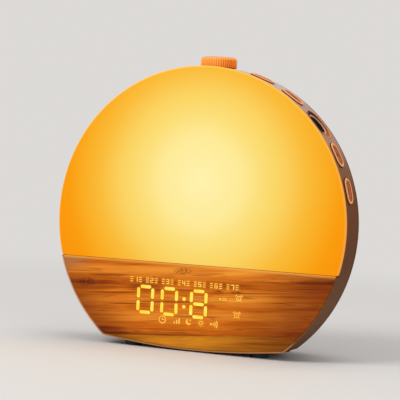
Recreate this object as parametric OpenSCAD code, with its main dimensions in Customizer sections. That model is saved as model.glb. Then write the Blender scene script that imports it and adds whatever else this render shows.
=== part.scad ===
// Sunrise alarm clock: a round bedside lamp with a domed glow lens, a wood panel
// with a lit clock display, five keys on the band and a knob that turns and presses.
// Frame: origin at the bottom centre, +X right as seen from the front, +Y towards
// the back, +Z up, in millimetres. A "depth" below is measured back from the front.

/* [Body] */
// Radius of the round face
disc_r = 90; // [88:1:96]
// Depth from the flat front to the flat back
depth = 48; // [47:0.5:54]
// Depth of the straight band, from the front to the seam
band_depth = 22; // [22:0.5:24]
// Drop of the underside's lowest line below the centre of the face
base_drop = 73.8; // [72:0.2:77]
// Radius of the underside's shallow curve
base_curve_r = 410; // [380:10:600]
// Radius of the corner between the band and the underside
corner_r = 4; // [3.5:0.5:6]
// Wall of both shells
wall = 2.2; // [1.8:0.1:2.4]
// Width of the dark seam between the shells
seam_gap = 0.6; // [0.2:0.1:0.8]
// Clear height under the middle of the underside
ground_gap = 1; // [0.6:0.1:2]

/* [Rear shell] */
// Radius of the round from the band into the taper
shoulder_r = 8.6; // [7:0.2:10]
// Angle of the taper to the axis of the face
taper_angle = 30; // [26:1:32]
// Radius of the round from the taper into the flat back
back_round_r = 8; // [6:0.5:9]

/* [Lens] */
// Thickness of the lens
lens_t = 2; // [1.8:0.1:2.4]
// Radius of the lens's front edge
lens_edge_r = 1.2; // [0.8:0.1:1.6]
// Length of the skirt that locates the lens in the band
skirt_len = 1.2; // [0.8:0.1:1.2]
// Thickness of that skirt
skirt_t = 1.6; // [1.2:0.1:1.8]
// Clearance between the skirt and the band
skirt_gap = 0.15; // [0.1:0.05:0.25]

/* [Wood panel] */
// Drop of the line where lens and wood meet, below the centre of the face
panel_drop = 24.6; // [23:0.2:26]
// Thickness of the wood panel
panel_t = 2; // [1.8:0.1:2.4]
// Width of the lip that frames the wood
lip_w = 0.8; // [0.6:0.1:1.4]
// Gap between the wood and what is beside it
panel_gap = 0.1; // [0.05:0.05:0.2]
// Thickness of the plate behind the wood
backing_t = 1.6; // [1.2:0.1:2]
// Thickness of the rib between the lamp and the display
divider_t = 2.2; // [1.6:0.1:3]

/* [Display] */
// Height of a digit
digit_h = 16.8; // [14:0.2:18]
// Width of a digit
digit_w = 11; // [9:0.2:11.6]
// Width of a digit's bars
digit_bar = 1.9; // [1.4:0.1:2.2]
// Drop of the digits' centre line below the centre of the face
digit_drop = 46.9; // [46:0.1:48]
// Gap along a bar between two segments
segment_gap = 1.5; // [1:0.1:2]
// Depth of the inlaid marks in the wood
mark_t = 0.8; // [0.5:0.1:1.2]
// Gap round an inlaid mark
mark_gap = 0.04; // [0.02:0.01:0.06]
// Width of the thin strokes of the small marks
stroke = 0.5; // [0.36:0.02:0.5]
// Pitch of the seven day marks
day_pitch = 10.15; // [9.6:0.05:10.4]
// Thickness of the light-tight mask behind the wood
mask_t = 4; // [3:0.1:5]

/* [Keys] */
// Depth of the pill keys' centre line
key_depth = 8.9; // [8.8:0.1:9.4]
// Angle of the lowest key above the horizontal
key_first = 14.5; // [13:0.5:15]
// Angle from one key to the next
key_pitch = 13.5; // [13.5:0.1:14]
// Length of a pill key along the band
key_l = 14.8; // [12:0.2:15]
// Width of a pill key across the band
key_w = 9.6; // [8:0.2:9.8]
// How far the pill keys stand above the band
key_proud = 1; // [0.6:0.1:1.2]
// Gap round a key
key_gap = 0.3; // [0.2:0.05:0.35]
// Travel of a key
key_travel = 0.6; // [0.4:0.1:0.7]
// Length of the round key's dished bezel along the band
bezel_l = 20.8; // [19:0.2:21]
// Width of that bezel across the band
bezel_w = 17.2; // [16:0.2:17.4]
// Depth of the bezel's centre
bezel_depth = 11.2; // [11.1:0.1:11.3]
// How far the bezel's rim stands above the band
bezel_proud = 0.3; // [0.1:0.1:0.6]
// Radius of the round key
round_key_r = 6; // [5.4:0.1:6.2]
// How far the round key lies below the bezel's rim
bezel_sink = 1.5; // [1.2:0.1:1.8]

/* [Switches] */
// Thickness of every circuit board
board_t = 1.2; // [1:0.1:1.6]
// Side of a switch body
switch_w = 6; // [5:0.1:6.2]
// Height of a switch body
switch_h = 2.6; // [2.4:0.1:3]
// Radius of a switch's stem
tact_r = 1.7; // [1.4:0.1:1.8]
// Height of a switch's stem above its body
tact_rise = 1.1; // [1:0.1:1.3]
// Running clearance round the stems and the knob's shaft
run_gap = 0.05; // [0.03:0.01:0.08]

/* [Knob] */
// Radius of the knob
knob_r = 10.6; // [10:0.1:11]
// Height of the knob's top above the band
knob_rise = 6.3; // [5.6:0.1:8]
// Depth of the knob's axis
knob_depth = 22.2; // [22:0.1:23]
// Radius of the knob's top edge
knob_edge_r = 1.5; // [1:0.1:2]
// Number of grooves round the knob
knob_grooves = 36; // [24:2:40]
// Travel of the knob when pressed
knob_travel = 0.6; // [0.4:0.1:0.7]
// Radius of the encoder's shaft
shaft_r = 3; // [2.8:0.1:3.2]

/* [Lamp] */
// Radius of the lamp's circuit board
led_board_r = 44; // [40:0.5:44]
// Height of the lamp's centre above the centre of the face
led_rise = 25; // [24.5:0.5:27]
// Depth of the reflector pan's floor
pan_floor = 12.8; // [12:0.1:13]

/* [Speaker] */
// Radius of the speaker's flange
speaker_r = 28; // [27:0.5:30]
// Height of the speaker's centre above the centre of the face
speaker_rise = 14; // [14:0.5:18]
// Radius of a hole in the grille
grille_hole_r = 1.1; // [0.8:0.05:1.2]
// Distance between the rings of holes
grille_pitch = 4.2; // [3.8:0.1:4.4]
// Number of rings of holes round the middle one
grille_rings = 4; // [2:1:4]
// Travel of the cone each way
cone_travel = 0.6; // [0.3:0.1:0.8]

/* [Inlet and feet] */
// Radius of the power socket's bore
socket_r = 3.15; // [3:0.05:3.25]
// Radius of the power socket's centre pin
socket_pin_r = 1.05; // [0.8:0.05:1.25]
// Radius of a foot
foot_r = 5; // [4:0.2:5.4]

/* [Hidden] */

$fn = 48;
BIG_FN = 180;
ARC_FN = 720;
// Where a line runs into an arc it lies this far inside, so that the two cross cleanly
CROSS = 0.01;
// How far a cutting shape reaches past what it cuts
OVER = 1;
// The least gap between pieces that only stand side by side
CLEAR = 0.3;

CASE = "#7d6a62";
WOOD = "#c8763a";
KEY_WOOD = "#e08a48";
GLOW = "#f8c860";
MARK = "#ffe14a";
BOARD = "#2f6b45";
BLACK = "#1c1c1e";
STEEL = "#b8babd";
WHITE = "#ecebe6";
RIBBON = "#c9c5ba";

face_z = base_drop + ground_gap;
base_curve_z = base_curve_r - base_drop;
inner_r = disc_r - wall;
rear_start = band_depth + seam_gap;
back_inside = depth - wall;
wood_top = -panel_drop - panel_gap;
lens_base = -panel_drop + panel_gap;
tongue_len = 1.4;
tongue_gap = 0.4;
tongue_t = 1.6;

// Centre of the corner's round: it touches the band and the underside
corner_reach = disc_r - corner_r;
corner_z = (pow(base_curve_z, 2) + pow(corner_reach, 2)
    - pow(base_curve_r - corner_r, 2)) / (2 * base_curve_z);
corner_x = sqrt(pow(corner_reach, 2) - pow(corner_z, 2));

// Centres of the rear shell's two rounds, as [radius, depth]
taper_n = [cos(taper_angle), sin(taper_angle)];
shoulder_c = [disc_r - shoulder_r, band_depth];
back_round_depth = depth - back_round_r;
back_round_c = [
    (taper_n * shoulder_c + shoulder_r - back_round_r - taper_n[1] * back_round_depth)
        / taper_n[0],
    back_round_depth
];

// Stack of a key, as distances from the axis of the face
key_flange_over = 1;
key_flange_t = 1.2;
key_stem_len = 1.2;
key_stem_r = 1.6;
key_flange_top = sqrt(pow(inner_r, 2) - pow(key_l / 2 + key_flange_over, 2)) - CLEAR;
key_flange_base = key_flange_top - key_flange_t;
tact_tip = key_flange_base - key_stem_len;
switch_top = tact_tip - tact_rise;
strip_top = switch_top - switch_h;
strip_base = strip_top - board_t;
strip_w = 6.8;
key_angles = [for (i = [0:4]) key_first + i * key_pitch];
ROUND_KEY = 2;

bezel_top = disc_r + bezel_proud;
bezel_base = inner_r;
bezel_floor = bezel_top - 1.4;
bezel_bore_r = round_key_r + key_gap;
bezel_shift = bezel_depth - key_depth;
round_key_top = bezel_top - bezel_sink;
round_flange_top = bezel_base - CLEAR;

pan_r = strip_base - 0.1;
pan_wall = 1.4;
pan_floor_t = 1.2;
pan_flange_t = 1;
pan_flange_depth = lens_t + skirt_len + 0.8;
pan_flange_r = 84.2 + inner_r - 87.8;
pan_chord_z = -panel_drop + 1.4;
lug_angles = [100, 140, 184, 356];
lug_t = 2;
lug_r = pan_r + 1.3;
pan_screw_reach = lug_r + 1.6;
pan_screw_spots = [for (a = lug_angles) pan_screw_reach * [cos(a), sin(a)]];

lamp_board_depth = pan_floor - board_t;
led_t = 0.8;
lamp_rings = [[12, 6], [24, 12], [36, 18]];

divider_z = wood_top - 0.1;
backing_depth = panel_t + backing_t;
mask_box = [-44, -digit_drop - 15.6, 34, -digit_drop + 14.9];
display_box = [-54, -digit_drop - 16.1, 44, -digit_drop + 15.9];
display_depth = panel_t + mask_t;
display_posts = [
    [-51, -digit_drop + 10.9], [41, -digit_drop + 10.9],
    [-49, -digit_drop - 13.1], [40, -digit_drop - 13.1]
];
display_post_r = 2.6;
window_gap = 0.2;

boss_r = 3.4;
boss_start = 15;
web_start = 18;
upper_bosses = [35, 145];
boss_reach = 75;
lower_boss = [52, -56];
case_bosses = concat(
    [for (a = upper_bosses) [boss_reach * cos(a), boss_reach * sin(a)]],
    [for (side = [-1, 1]) [side * lower_boss[0], lower_boss[1]]]
);
tube_r = 4.6;
screw_r = 1.4;
screw_clear_r = 1.7;
screw_head_r = 3;
screw_sink = 34;

knob_base = disc_r;
knob_top = disc_r + knob_rise;
knob_wall = 1.6;
knob_roof = 2;
knob_hub_r = 4.8;
knob_hub_base = knob_base - 3;
well_r = knob_r + 0.6;
well_wall = 1.5;
well_top = knob_base - knob_travel - CLEAR;
well_floor = 80 + disc_r - 90;
well_floor_t = 2;
well_gap = 0.15;
bush_r = shaft_r + 1.2;
bush_top = knob_hub_base - knob_travel - CLEAR;
nut_r = 6.4;
nut_t = 2;
encoder_w = 12.4;
encoder_h = 6.6;
encoder_base = well_floor - encoder_h;
plunger_r = 4.4;
plunger_t = 1.2;
plunger_base = encoder_base + 2;
cavity_base = plunger_base - knob_travel - 0.2;
cavity_top = plunger_base + plunger_t + 1;
shaft_base = plunger_base + plunger_t + 0.02;
shaft_top = knob_top - knob_roof - 0.1;

main_depth = 26.5;
main_board_t = board_t + 0.4;
main_back = main_depth + main_board_t;
main_box = [-44, -62, 44, -16];
standoffs = [[-38, -22], [38, -22], [-38, -56], [38, -56]];
standoff_r = 3;

lamp_cable_at = [9, -16.8];
display_cable_at = [10, -55];
cable_t = 0.7;
lamp_plug_t = 2.6;
display_plug_t = 3;
encoder_cable_depth = 20;
encoder_cable_z = -20;
lead_z = -19;
lead_r = 0.6;
key_plug = [27, -25, 32, -19];
vent_z = -30;

socket_x = 26;
socket_z = -48;
socket_w = 9;
socket_h = 11;
socket_nose_r = 4.4;
socket_mouth = depth - 0.4;
socket_bore_len = 11.6;
socket_pin_back = 1;

coin_x = -20;
coin_z = -40;
coin_r = 10;
coin_t = 3.2;
coin_wall = 1.4;

gasket_t = 0.6;
flange_t = 1.2;
flange_depth = back_inside - gasket_t - flange_t;
speaker_open_r = speaker_r - 7.5;
speaker_screw_reach = speaker_r - 2.8;
speaker_screw_spots = [
    for (a = [45:90:315])
        [speaker_screw_reach * cos(a), speaker_rise + speaker_screw_reach * sin(a)]
];
basket_r = speaker_open_r + 1;
basket_t = 1.2;
basket_base = flange_depth - 10;
magnet_r = 13;
magnet_back = flange_depth - 17;
coil_r = 6.5;
gap_r = coil_r + 0.7;
lead_reach = magnet_r + 2.7;
cone_front = flange_depth - 0.8;
cone_neck = flange_depth - 5.6;
cone_t = 0.8;

// Each foot: distance from the middle, depth
foot_spots = [[40, 8], [34, 32]];
foot_gap = 0.15;

// Height of the underside above the ground, this far from the middle
function underside_at(x) = face_z + base_curve_z - sqrt(pow(base_curve_r, 2) - x * x);
// Height at which a foot sits in its pocket: just inside the underside at its outer edge
function foot_seat(spot) = underside_at(spot[0] + foot_r) + CLEAR;

// Digits and marks: centres in the face plane, as [x, z] from the centre of the face
digit_places = [[-30.1, 0], [-14.8, 0], [3.7, 8]];
colon_x = -5.4;
colon_rise = 2.3;
colon_r = 1.05;
day_x = -36.6;
day_z = -digit_drop + 11.4;
day_frame = [7.3, 2.9];
half_day = [18.8, -digit_drop + 4];
alarm_spots = [[28.5, -digit_drop + 5.3], [27.7, -digit_drop - 4.3]];
mode_z = -digit_drop - 10.7;
clock_x = -18.6;
steps_x = -9.4;
moon_x = -2;
sun_x = 5.8;
sound_x = 14;
// Lit bars of the numerals 0 to 8: a top, b c right, d bottom, e f left, g middle
LIT = ["abcdef", "bc", "abged", "abgcd", "fgbc", "afgcd", "afgedc", "abc", "abcdefg"];

// ---------------------------------------------------------------- placing

// Extrudes a shape drawn in the face plane, from depth d0 to depth d1
module slab(d0, d1) {
    translate([0, -depth / 2, face_z])
        rotate([90, 0, 0])
            translate([0, 0, -d1])
                linear_extrude(d1 - d0)
                    children();
}

// Turns a profile drawn as [radius, depth] about the axis of the face
module turned(rise = 0) {
    translate([0, -depth / 2, face_z + rise])
        rotate([-90, 0, 0])
            rotate_extrude($fn = BIG_FN)
                children();
}

// Turns a box through part of a circle round the axis of the face
module band_arc(r0, r1, d0, d1, a0, a1) {
    translate([0, -depth / 2, face_z])
        rotate([90, 0, 0])
            rotate([0, 0, a0])
                rotate_extrude(angle = a1 - a0, $fn = BIG_FN)
                    translate([r0, -d1])
                        square([r1 - r0, d1 - d0]);
}

// Local +Z points out of the band at this angle, and local +Y towards the back
module at_key(angle) {
    translate([0, key_depth - depth / 2, face_z])
        rotate([0, 90 - angle, 0])
            children();
}

// Local +Z is up the knob's axis, from the height of the face's centre
module at_knob() {
    translate([0, knob_depth - depth / 2, face_z])
        children();
}

// Local +Z points back from a point on the front, given as [x, z] from the face's centre
module at_face(p, d = 0) {
    translate([p[0], d - depth / 2, face_z + p[1]])
        rotate([-90, 0, 0])
            children();
}

// A rod along the depth, from d0 to d1
module rod(p, r, d0, d1) {
    at_face(p, d0)
        cylinder(r = r, h = d1 - d0);
}

// A bar with round ends, along X
module bar_2d(len, width) {
    for (side = [-1, 1])
        translate([side * (len - width) / 2, 0])
            circle(d = width, $fn = 24);
    square([len - width, width - 2 * CROSS], center = true);
}

module box_2d(b, grow = 0) {
    translate([b[0] - grow, b[1] - grow])
        square([b[2] - b[0] + 2 * grow, b[3] - b[1] + 2 * grow]);
}

module below_line_2d(z) {
    translate([-2 * disc_r, z - 4 * disc_r])
        square(4 * disc_r);
}

module above_line_2d(z) {
    translate([-2 * disc_r, z])
        square(4 * disc_r);
}

// A disc of radius r, cut off straight below z
module pan_2d(r, z) {
    intersection() {
        circle(r = r, $fn = BIG_FN);
        above_line_2d(z);
    }
}

// ---------------------------------------------------------------- outlines

// What the round between band and underside takes off, at each lower corner
module corner_waste_2d(inset) {
    reach = 2 * corner_r;
    out = [corner_x, corner_z] / corner_reach;
    down = [corner_x, corner_z - base_curve_z] / (base_curve_r - corner_r);
    centre = [corner_x, corner_z];
    for (side = [0, 1])
        mirror([side, 0])
            difference() {
                polygon([
                    centre,
                    centre + out * reach,
                    centre + (out + down) * reach,
                    centre + down * reach
                ]);
                translate(centre)
                    circle(r = corner_r - inset + CROSS);
            }
}

// Outline of the underside alone, without the round face
module underside_2d(inset = 0) {
    difference() {
        translate([0, base_curve_z])
            circle(r = base_curve_r - inset, $fn = ARC_FN);
        corner_waste_2d(inset);
    }
}

// Outline of the whole face: the round and the underside
module face_2d(inset = 0) {
    difference() {
        intersection() {
            circle(r = disc_r - inset, $fn = BIG_FN);
            translate([0, base_curve_z])
                circle(r = base_curve_r - inset, $fn = ARC_FN);
        }
        corner_waste_2d(inset);
    }
}

// A rim this wide along the outline of the face
module rim_2d(width) {
    difference() {
        face_2d();
        face_2d(width);
    }
}

// Half profile of the rear shell, as [radius, depth]
module rear_profile(inset, start) {
    taper_0 = shoulder_c + taper_n * (shoulder_r - inset - CROSS);
    taper_1 = back_round_c + taper_n * (back_round_r - inset - CROSS);
    intersection() {
        union() {
            translate(shoulder_c)
                circle(r = shoulder_r - inset);
            translate(back_round_c)
                circle(r = back_round_r - inset);
            polygon([shoulder_c, taper_0, taper_1, back_round_c]);
            polygon([[0, band_depth], shoulder_c, back_round_c, [0, back_round_c[1]]]);
            square([back_round_c[0], depth - inset - CROSS]);
        }
        translate([0, start])
            square([disc_r + OVER, depth]);
    }
}

// ---------------------------------------------------------------- shells

module key_outline_2d(grow = 0) {
    bar_2d(key_l + 2 * grow, key_w + 2 * grow);
}

module bezel_outline_2d(grow = 0) {
    bar_2d(bezel_l + 2 * grow, bezel_w + 2 * grow);
}

// Cuts the keys' windows through the band
module key_windows() {
    for (i = [0:4])
        at_key(key_angles[i])
            translate([0, 0, inner_r - 2 * OVER])
                if (i == ROUND_KEY)
                    translate([0, bezel_shift, 0])
                        linear_extrude(wall + 4 * OVER)
                            bezel_outline_2d(0.1);
                else
                    linear_extrude(wall + 4 * OVER)
                        key_outline_2d(key_gap);
}

module foot_pocket(spot) {
    for (side = [-1, 1])
        translate([side * spot[0], spot[1] - depth / 2, -OVER])
            cylinder(r = foot_r + foot_gap, h = foot_seat(spot) + OVER);
}

// Where the rear cover's knob well passes, with its gap
module well_clearance() {
    at_knob()
        translate([0, 0, well_floor - OVER])
            cylinder(r = well_r + well_gap, h = disc_r - well_floor + 3 * OVER);
}

module case_boss_webs() {
    for (a = upper_bosses)
        slab(web_start, rear_start)
            rotate(a)
                translate([boss_reach, -1])
                    square([inner_r - boss_reach + wall / 2, 2]);
    for (side = [-1, 1])
        slab(web_start, band_depth)
            translate([side * lower_boss[0] - 1, -base_drop + wall])
                square([2, lower_boss[1] + base_drop - wall]);
}

module front_housing() color(CASE)
    difference() {
        union() {
            // the band, from behind the lens above and from behind the wood below
            slab(lens_t, band_depth)
                intersection() {
                    rim_2d(wall);
                    above_line_2d(wood_top - CROSS);
                }
            slab(panel_t, band_depth)
                intersection() {
                    rim_2d(wall);
                    below_line_2d(wood_top);
                }
            // the lip round the wood
            slab(0, panel_t)
                intersection() {
                    rim_2d(lip_w);
                    below_line_2d(wood_top);
                }
            // the plate behind the wood
            slab(panel_t, backing_depth)
                difference() {
                    intersection() {
                        face_2d(wall / 2);
                        below_line_2d(divider_z);
                    }
                    box_2d(mask_box, window_gap);
                }
            // the rib between lamp and display
            slab(panel_t, web_start)
                intersection() {
                    face_2d(wall / 2);
                    above_line_2d(divider_z - divider_t);
                    below_line_2d(divider_z);
                }
            // the tongue inside the seam
            slab(band_depth - 2, band_depth)
                tongue_2d(wall / 2);
            slab(band_depth - 2, rear_start + tongue_len)
                tongue_2d(wall + tongue_gap);
            for (p = display_posts)
                rod(p, display_post_r, backing_depth - wall / 2, display_depth);
            for (a = lug_angles)
                band_arc(lug_r, inner_r + wall / 2, pan_flange_depth + pan_flange_t,
                    pan_flange_depth + pan_flange_t + lug_t, a - 3, a + 3);
            for (p = case_bosses)
                rod(p, boss_r, boss_start, rear_start);
            case_boss_webs();
        }
        for (p = case_bosses)
            rod(p, screw_r + run_gap, boss_start + 1.4, rear_start + OVER);
        for (p = display_posts)
            rod(p, 1.05, backing_depth, display_depth + OVER);
        for (p = pan_screw_spots)
            rod(p, 0.85, pan_flange_depth, pan_flange_depth + pan_flange_t + lug_t + OVER);
        key_windows();
        well_clearance();
        foot_pocket(foot_spots[0]);
    }

// A thin ring inside the round part of the band, clear of the bosses' webs
module tongue_2d(inset) {
    difference() {
        intersection() {
            circle(r = disc_r - inset, $fn = BIG_FN);
            above_line_2d(divider_z);
        }
        circle(r = inner_r - tongue_gap - tongue_t, $fn = BIG_FN);
    }
}

module rear_cover() color(CASE)
    difference() {
        union() {
            difference() {
                intersection() {
                    turned()
                        rear_profile(0, rear_start);
                    slab(rear_start - OVER, depth + OVER)
                        underside_2d();
                }
                intersection() {
                    turned()
                        rear_profile(wall, rear_start - OVER);
                    slab(rear_start - 2 * OVER, depth)
                        underside_2d(wall);
                }
            }
            for (p = case_bosses)
                rod(p, tube_r, rear_start, back_inside - 6);
            for (p = standoffs)
                rod(p, standoff_r, main_back, back_inside + wall / 2);
            for (p = case_bosses)
                intersection() {
                    rod(p, tube_r, back_inside - 7, depth);
                    turned()
                        rear_profile(wall / 2, rear_start);
                }
            // the well that the knob sits in
            at_knob()
                translate([0, 0, well_floor])
                    cylinder(r = well_r, h = well_top - well_floor);
        }
        at_knob() {
            translate([0, 0, well_floor + well_floor_t])
                cylinder(r = well_r - well_wall, h = disc_r);
            translate([0, 0, well_floor - OVER])
                cylinder(r = bush_r + 0.1, h = well_floor_t + 2 * OVER);
            // room above the well's rim for the knob when it is pressed
            translate([0, 0, well_top])
                cylinder(r = well_r + well_gap, h = disc_r);
        }
        for (p = case_bosses) {
            rod(p, screw_clear_r, rear_start - OVER, depth);
            rod(p, screw_head_r + CLEAR, screw_sink, depth + OVER);
        }
        for (p = standoffs)
            rod(p, 1.05, main_back - OVER, main_back + 8);
        at_face([0, speaker_rise], back_inside - OVER)
            grille_holes();
        for (p = speaker_screw_spots)
            rod(p, 1.05, back_inside - OVER, depth - 0.8);
        rod([socket_x, socket_z], socket_nose_r + 0.15, back_inside - OVER, depth + OVER);
        vent_slots();
        foot_pocket(foot_spots[1]);
    }

module grille_holes() {
    cylinder(r = grille_hole_r, h = wall + 3 * OVER, $fn = 16);
    for (ring = [1:grille_rings])
        for (i = [0:6 * ring - 1])
            rotate([0, 0, i * 60 / ring])
                translate([ring * grille_pitch, 0, 0])
                    cylinder(r = grille_hole_r, h = wall + 3 * OVER, $fn = 16);
}

module vent_slots() {
    for (i = [-3:3])
        slab(back_inside - OVER, depth + OVER)
            translate([i * 5, vent_z])
                rotate(90)
                    bar_2d(12, 1.8);
}

module lens() color(GLOW) {
    intersection() {
        turned()
            lens_profile();
        slab(-OVER, lens_t + OVER)
            above_line_2d(lens_base);
    }
    slab(lens_t - CROSS, lens_t + skirt_len)
        difference() {
            pan_2d(inner_r - skirt_gap, lens_base);
            pan_2d(inner_r - skirt_gap - skirt_t, lens_base + skirt_t);
        }
}

// Half profile of the lens's sheet with its rounded front edge, as [radius, depth]
module lens_profile() {
    edge_c = [disc_r - lens_edge_r, lens_edge_r];
    translate([0, CROSS])
        square([edge_c[0], lens_t - CROSS]);
    translate([0, lens_edge_r])
        square([disc_r - CROSS, lens_t - lens_edge_r]);
    intersection() {
        translate(edge_c)
            circle(r = lens_edge_r);
        square([disc_r + OVER, lens_t]);
    }
}

module wood_panel() color(WOOD)
    difference() {
        slab(0, panel_t)
            intersection() {
                face_2d(lip_w + panel_gap);
                below_line_2d(wood_top);
            }
        slab(-OVER, mark_t)
            all_marks_2d(mark_gap);
    }

// ---------------------------------------------------------------- display

// A numeral of bars, w wide and h high, with bars t wide
module numeral_2d(value, w, h, t, gap, grow = 0) {
    x = (w - t) / 2;
    z = (h - t) / 4;
    across = w - 2 * t - gap / 3;
    upright = (h - t) / 2 - gap;
    places = [
        ["a", [0, 2 * z], across, 0], ["b", [x, z], upright, 90],
        ["c", [x, -z], upright, 90], ["d", [0, -2 * z], across, 0],
        ["e", [-x, -z], upright, 90], ["f", [-x, z], upright, 90],
        ["g", [0, 0], across, 0]
    ];
    for (p = places)
        if (len(search(p[0], LIT[value])) > 0)
            translate(p[1])
                rotate(p[3])
                    bar_2d(p[2] + 2 * grow, t + 2 * grow);
}

module digit_2d(i, grow = 0) {
    translate([digit_places[i][0], -digit_drop])
        numeral_2d(digit_places[i][1], digit_w, digit_h, digit_bar, segment_gap, grow);
}

module colon_2d(grow = 0) {
    for (side = [-1, 1])
        translate([colon_x, -digit_drop + side * colon_rise])
            circle(r = colon_r + grow, $fn = 24);
}

module line_2d(p, q, width) {
    mid = (p + q) / 2;
    translate(mid)
        rotate(atan2(q[1] - p[1], q[0] - p[0]))
            square([norm(q - p), width], center = true);
}

// A plain small numeral in thin strokes that join at their ends
module thin_numeral_2d(value, w, h, t) {
    x = w / 2;
    z = h / 2;
    ends = [
        ["a", [-x, z], [x, z]], ["b", [x, z], [x, 0]], ["c", [x, 0], [x, -z]],
        ["d", [-x, -z], [x, -z]], ["e", [-x, 0], [-x, -z]], ["f", [-x, z], [-x, 0]],
        ["g", [-x, 0], [x, 0]]
    ];
    for (e = ends)
        if (len(search(e[0], LIT[value])) > 0) {
            along = (e[2] - e[1]) / norm(e[2] - e[1]);
            line_2d(e[1] - along * t / 2, e[2] + along * t / 2, t);
        }
}

// Seven day marks: a numeral between two short bars
module day_marks_2d(grow = 0) {
    t = stroke + 2 * grow;
    for (i = [0:6])
        translate([day_x + i * day_pitch, day_z]) {
            thin_numeral_2d(i + 1, 1.5, day_frame[1] - stroke, t);
            for (side = [-1, 1])
                for (row = [-1, 0, 1])
                    translate([side * (day_frame[0] - 1.7) / 2, row * (day_frame[1] - stroke) / 2])
                        square([1.7 + 2 * grow, t], center = true);
        }
}

module half_day_2d(grow = 0) {
    translate(half_day) {
        translate([-1.7, 0])
            circle(r = 0.7 + grow, $fn = 24);
        for (side = [-1, 1])
            translate([0.9, side * 0.5])
                square([2.8 + 2 * grow, stroke + 2 * grow], center = true);
    }
}

module ring_2d(r, width, grow = 0) {
    difference() {
        circle(r = r + grow, $fn = 32);
        circle(r = r - width - grow, $fn = 32);
    }
}

module alarm_marks_2d(grow = 0) {
    for (p = alarm_spots)
        translate(p) {
            ring_2d(1.55, 0.5, grow);
            square([0.4 + 2 * grow, 1.1 + 2 * grow], center = true);
            for (side = [-1, 1]) {
                translate([side * 1.75, 1.5])
                    rotate(side * -42)
                        square([1.5 + 2 * grow, 0.5 + 2 * grow], center = true);
                translate([side * 1.6, -1.65])
                    rotate(side * -50)
                        square([0.8 + 2 * grow, 0.4 + 2 * grow], center = true);
            }
        }
}

module mode_marks_2d(grow = 0) {
    // clock
    translate([clock_x, mode_z]) {
        ring_2d(2.3, 0.5, grow);
        translate([0, 0.5])
            square([stroke + 2 * grow, 1.4 + 2 * grow], center = true);
        translate([0.5, 0])
            square([1.4 + 2 * grow, stroke + 2 * grow], center = true);
    }
    // rising steps
    for (i = [0:2])
        translate([steps_x + (i - 1) * 1.5, mode_z - 1.6 + (1.2 + i) / 2])
            square([0.7 + 2 * grow, 1.2 + i + 2 * grow], center = true);
    // moon
    translate([moon_x, mode_z]) {
        difference() {
            circle(r = 1.8 + grow, $fn = 32);
            translate([0.95, 0.75])
                circle(r = 1.5 - grow, $fn = 32);
        }
        translate([1.1, 1])
            circle(r = 0.45 + grow, $fn = 24);
    }
    // sun
    translate([sun_x, mode_z]) {
        ring_2d(1.15, 0.45, grow);
        for (a = [0:45:315])
            rotate(a)
                translate([1.8, 0])
                    square([0.6 + 2 * grow, 0.36 + 2 * grow], center = true);
    }
    // sound
    translate([sound_x - 1.9, mode_z]) {
        circle(r = 0.65 + grow, $fn = 24);
        for (r = [1.7, 2.9, 4.1])
            intersection() {
                ring_2d(r, 0.5, grow);
                polygon([[0.3, 0], [5, 3.1 + grow], [5, -3.1 - grow]]);
            }
    }
}

module all_marks_2d(grow) {
    for (i = [0:2])
        digit_2d(i, grow);
    colon_2d(grow);
    day_marks_2d(grow);
    half_day_2d(grow);
    alarm_marks_2d(grow);
    mode_marks_2d(grow);
}

module inlay() color(MARK)
    slab(0, mark_t)
        children();

// Shafts of the mask that the light comes through
module mask_shafts_2d() {
    for (i = [0:2])
        digit_2d(i, 0.2);
    colon_2d(0.2);
    translate([-6, day_z])
        square([70, 4], center = true);
    translate([-2.2, mode_z])
        square([40, 5.4], center = true);
    translate(half_day)
        square([6.4, 3.4], center = true);
    for (p = alarm_spots)
        translate(p)
            square([6, 5.2], center = true);
}

module display_mask() color(BLACK)
    slab(panel_t, display_depth)
        difference() {
            box_2d(mask_box);
            mask_shafts_2d();
        }

module display_board() color(BOARD)
    difference() {
        slab(display_depth, display_depth + board_t)
            intersection() {
                box_2d(display_box);
                face_2d(wall + CLEAR);
            }
        for (p = display_posts)
            rod(p, 1.4, display_depth - OVER, display_depth + board_t + OVER);
    }

module chip(p, w, h, d0, d1) {
    slab(d0, d1)
        translate(p)
            square([w, h], center = true);
}

module display_leds() color(WHITE) {
    d0 = display_depth - led_t;
    x = (digit_w - digit_bar) / 2;
    z = (digit_h - digit_bar) / 4;
    for (place = digit_places) {
        c = [place[0], -digit_drop];
        for (side = [-1, 1]) {
            chip(c + [0, side * 2 * z], 1.6, 0.8, d0, display_depth);
            for (row = [-1, 1])
                chip(c + [side * x, row * z], 0.8, 1.6, d0, display_depth);
        }
    }
    chip([digit_places[2][0], -digit_drop], 1.6, 0.8, d0, display_depth);
    for (side = [-1, 1])
        chip([colon_x, -digit_drop + side * colon_rise], 0.8, 1, d0, display_depth);
    for (i = [0:6])
        chip([day_x + i * day_pitch, day_z], 1.6, 0.8, d0, display_depth);
    chip(half_day, 1.6, 0.8, d0, display_depth);
    for (p = alarm_spots)
        chip(p, 1.6, 0.8, d0, display_depth);
    for (x = [clock_x, steps_x, moon_x, sun_x, sound_x])
        chip([x, mode_z], 1.6, 0.8, d0, display_depth);
}

// The cross in a screw's head, cut from depth d0 to depth d1
module cross_recess(p, head_r, d0, d1) {
    slab(d0, d1)
        translate(p)
            for (a = [0, 90])
                rotate(a)
                    square([1.2 * head_r, 0.24 * head_r], center = true);
}

// A screw whose head is at the back of what it holds, its shank running forward
module screw_from_back(p, head_d, tip_d, shank_r, head_r, head_t) {
    difference() {
        union() {
            rod(p, shank_r, tip_d, head_d);
            rod(p, head_r, head_d, head_d + head_t);
        }
        cross_recess(p, head_r, head_d + head_t / 2, head_d + head_t + OVER);
    }
}

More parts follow.
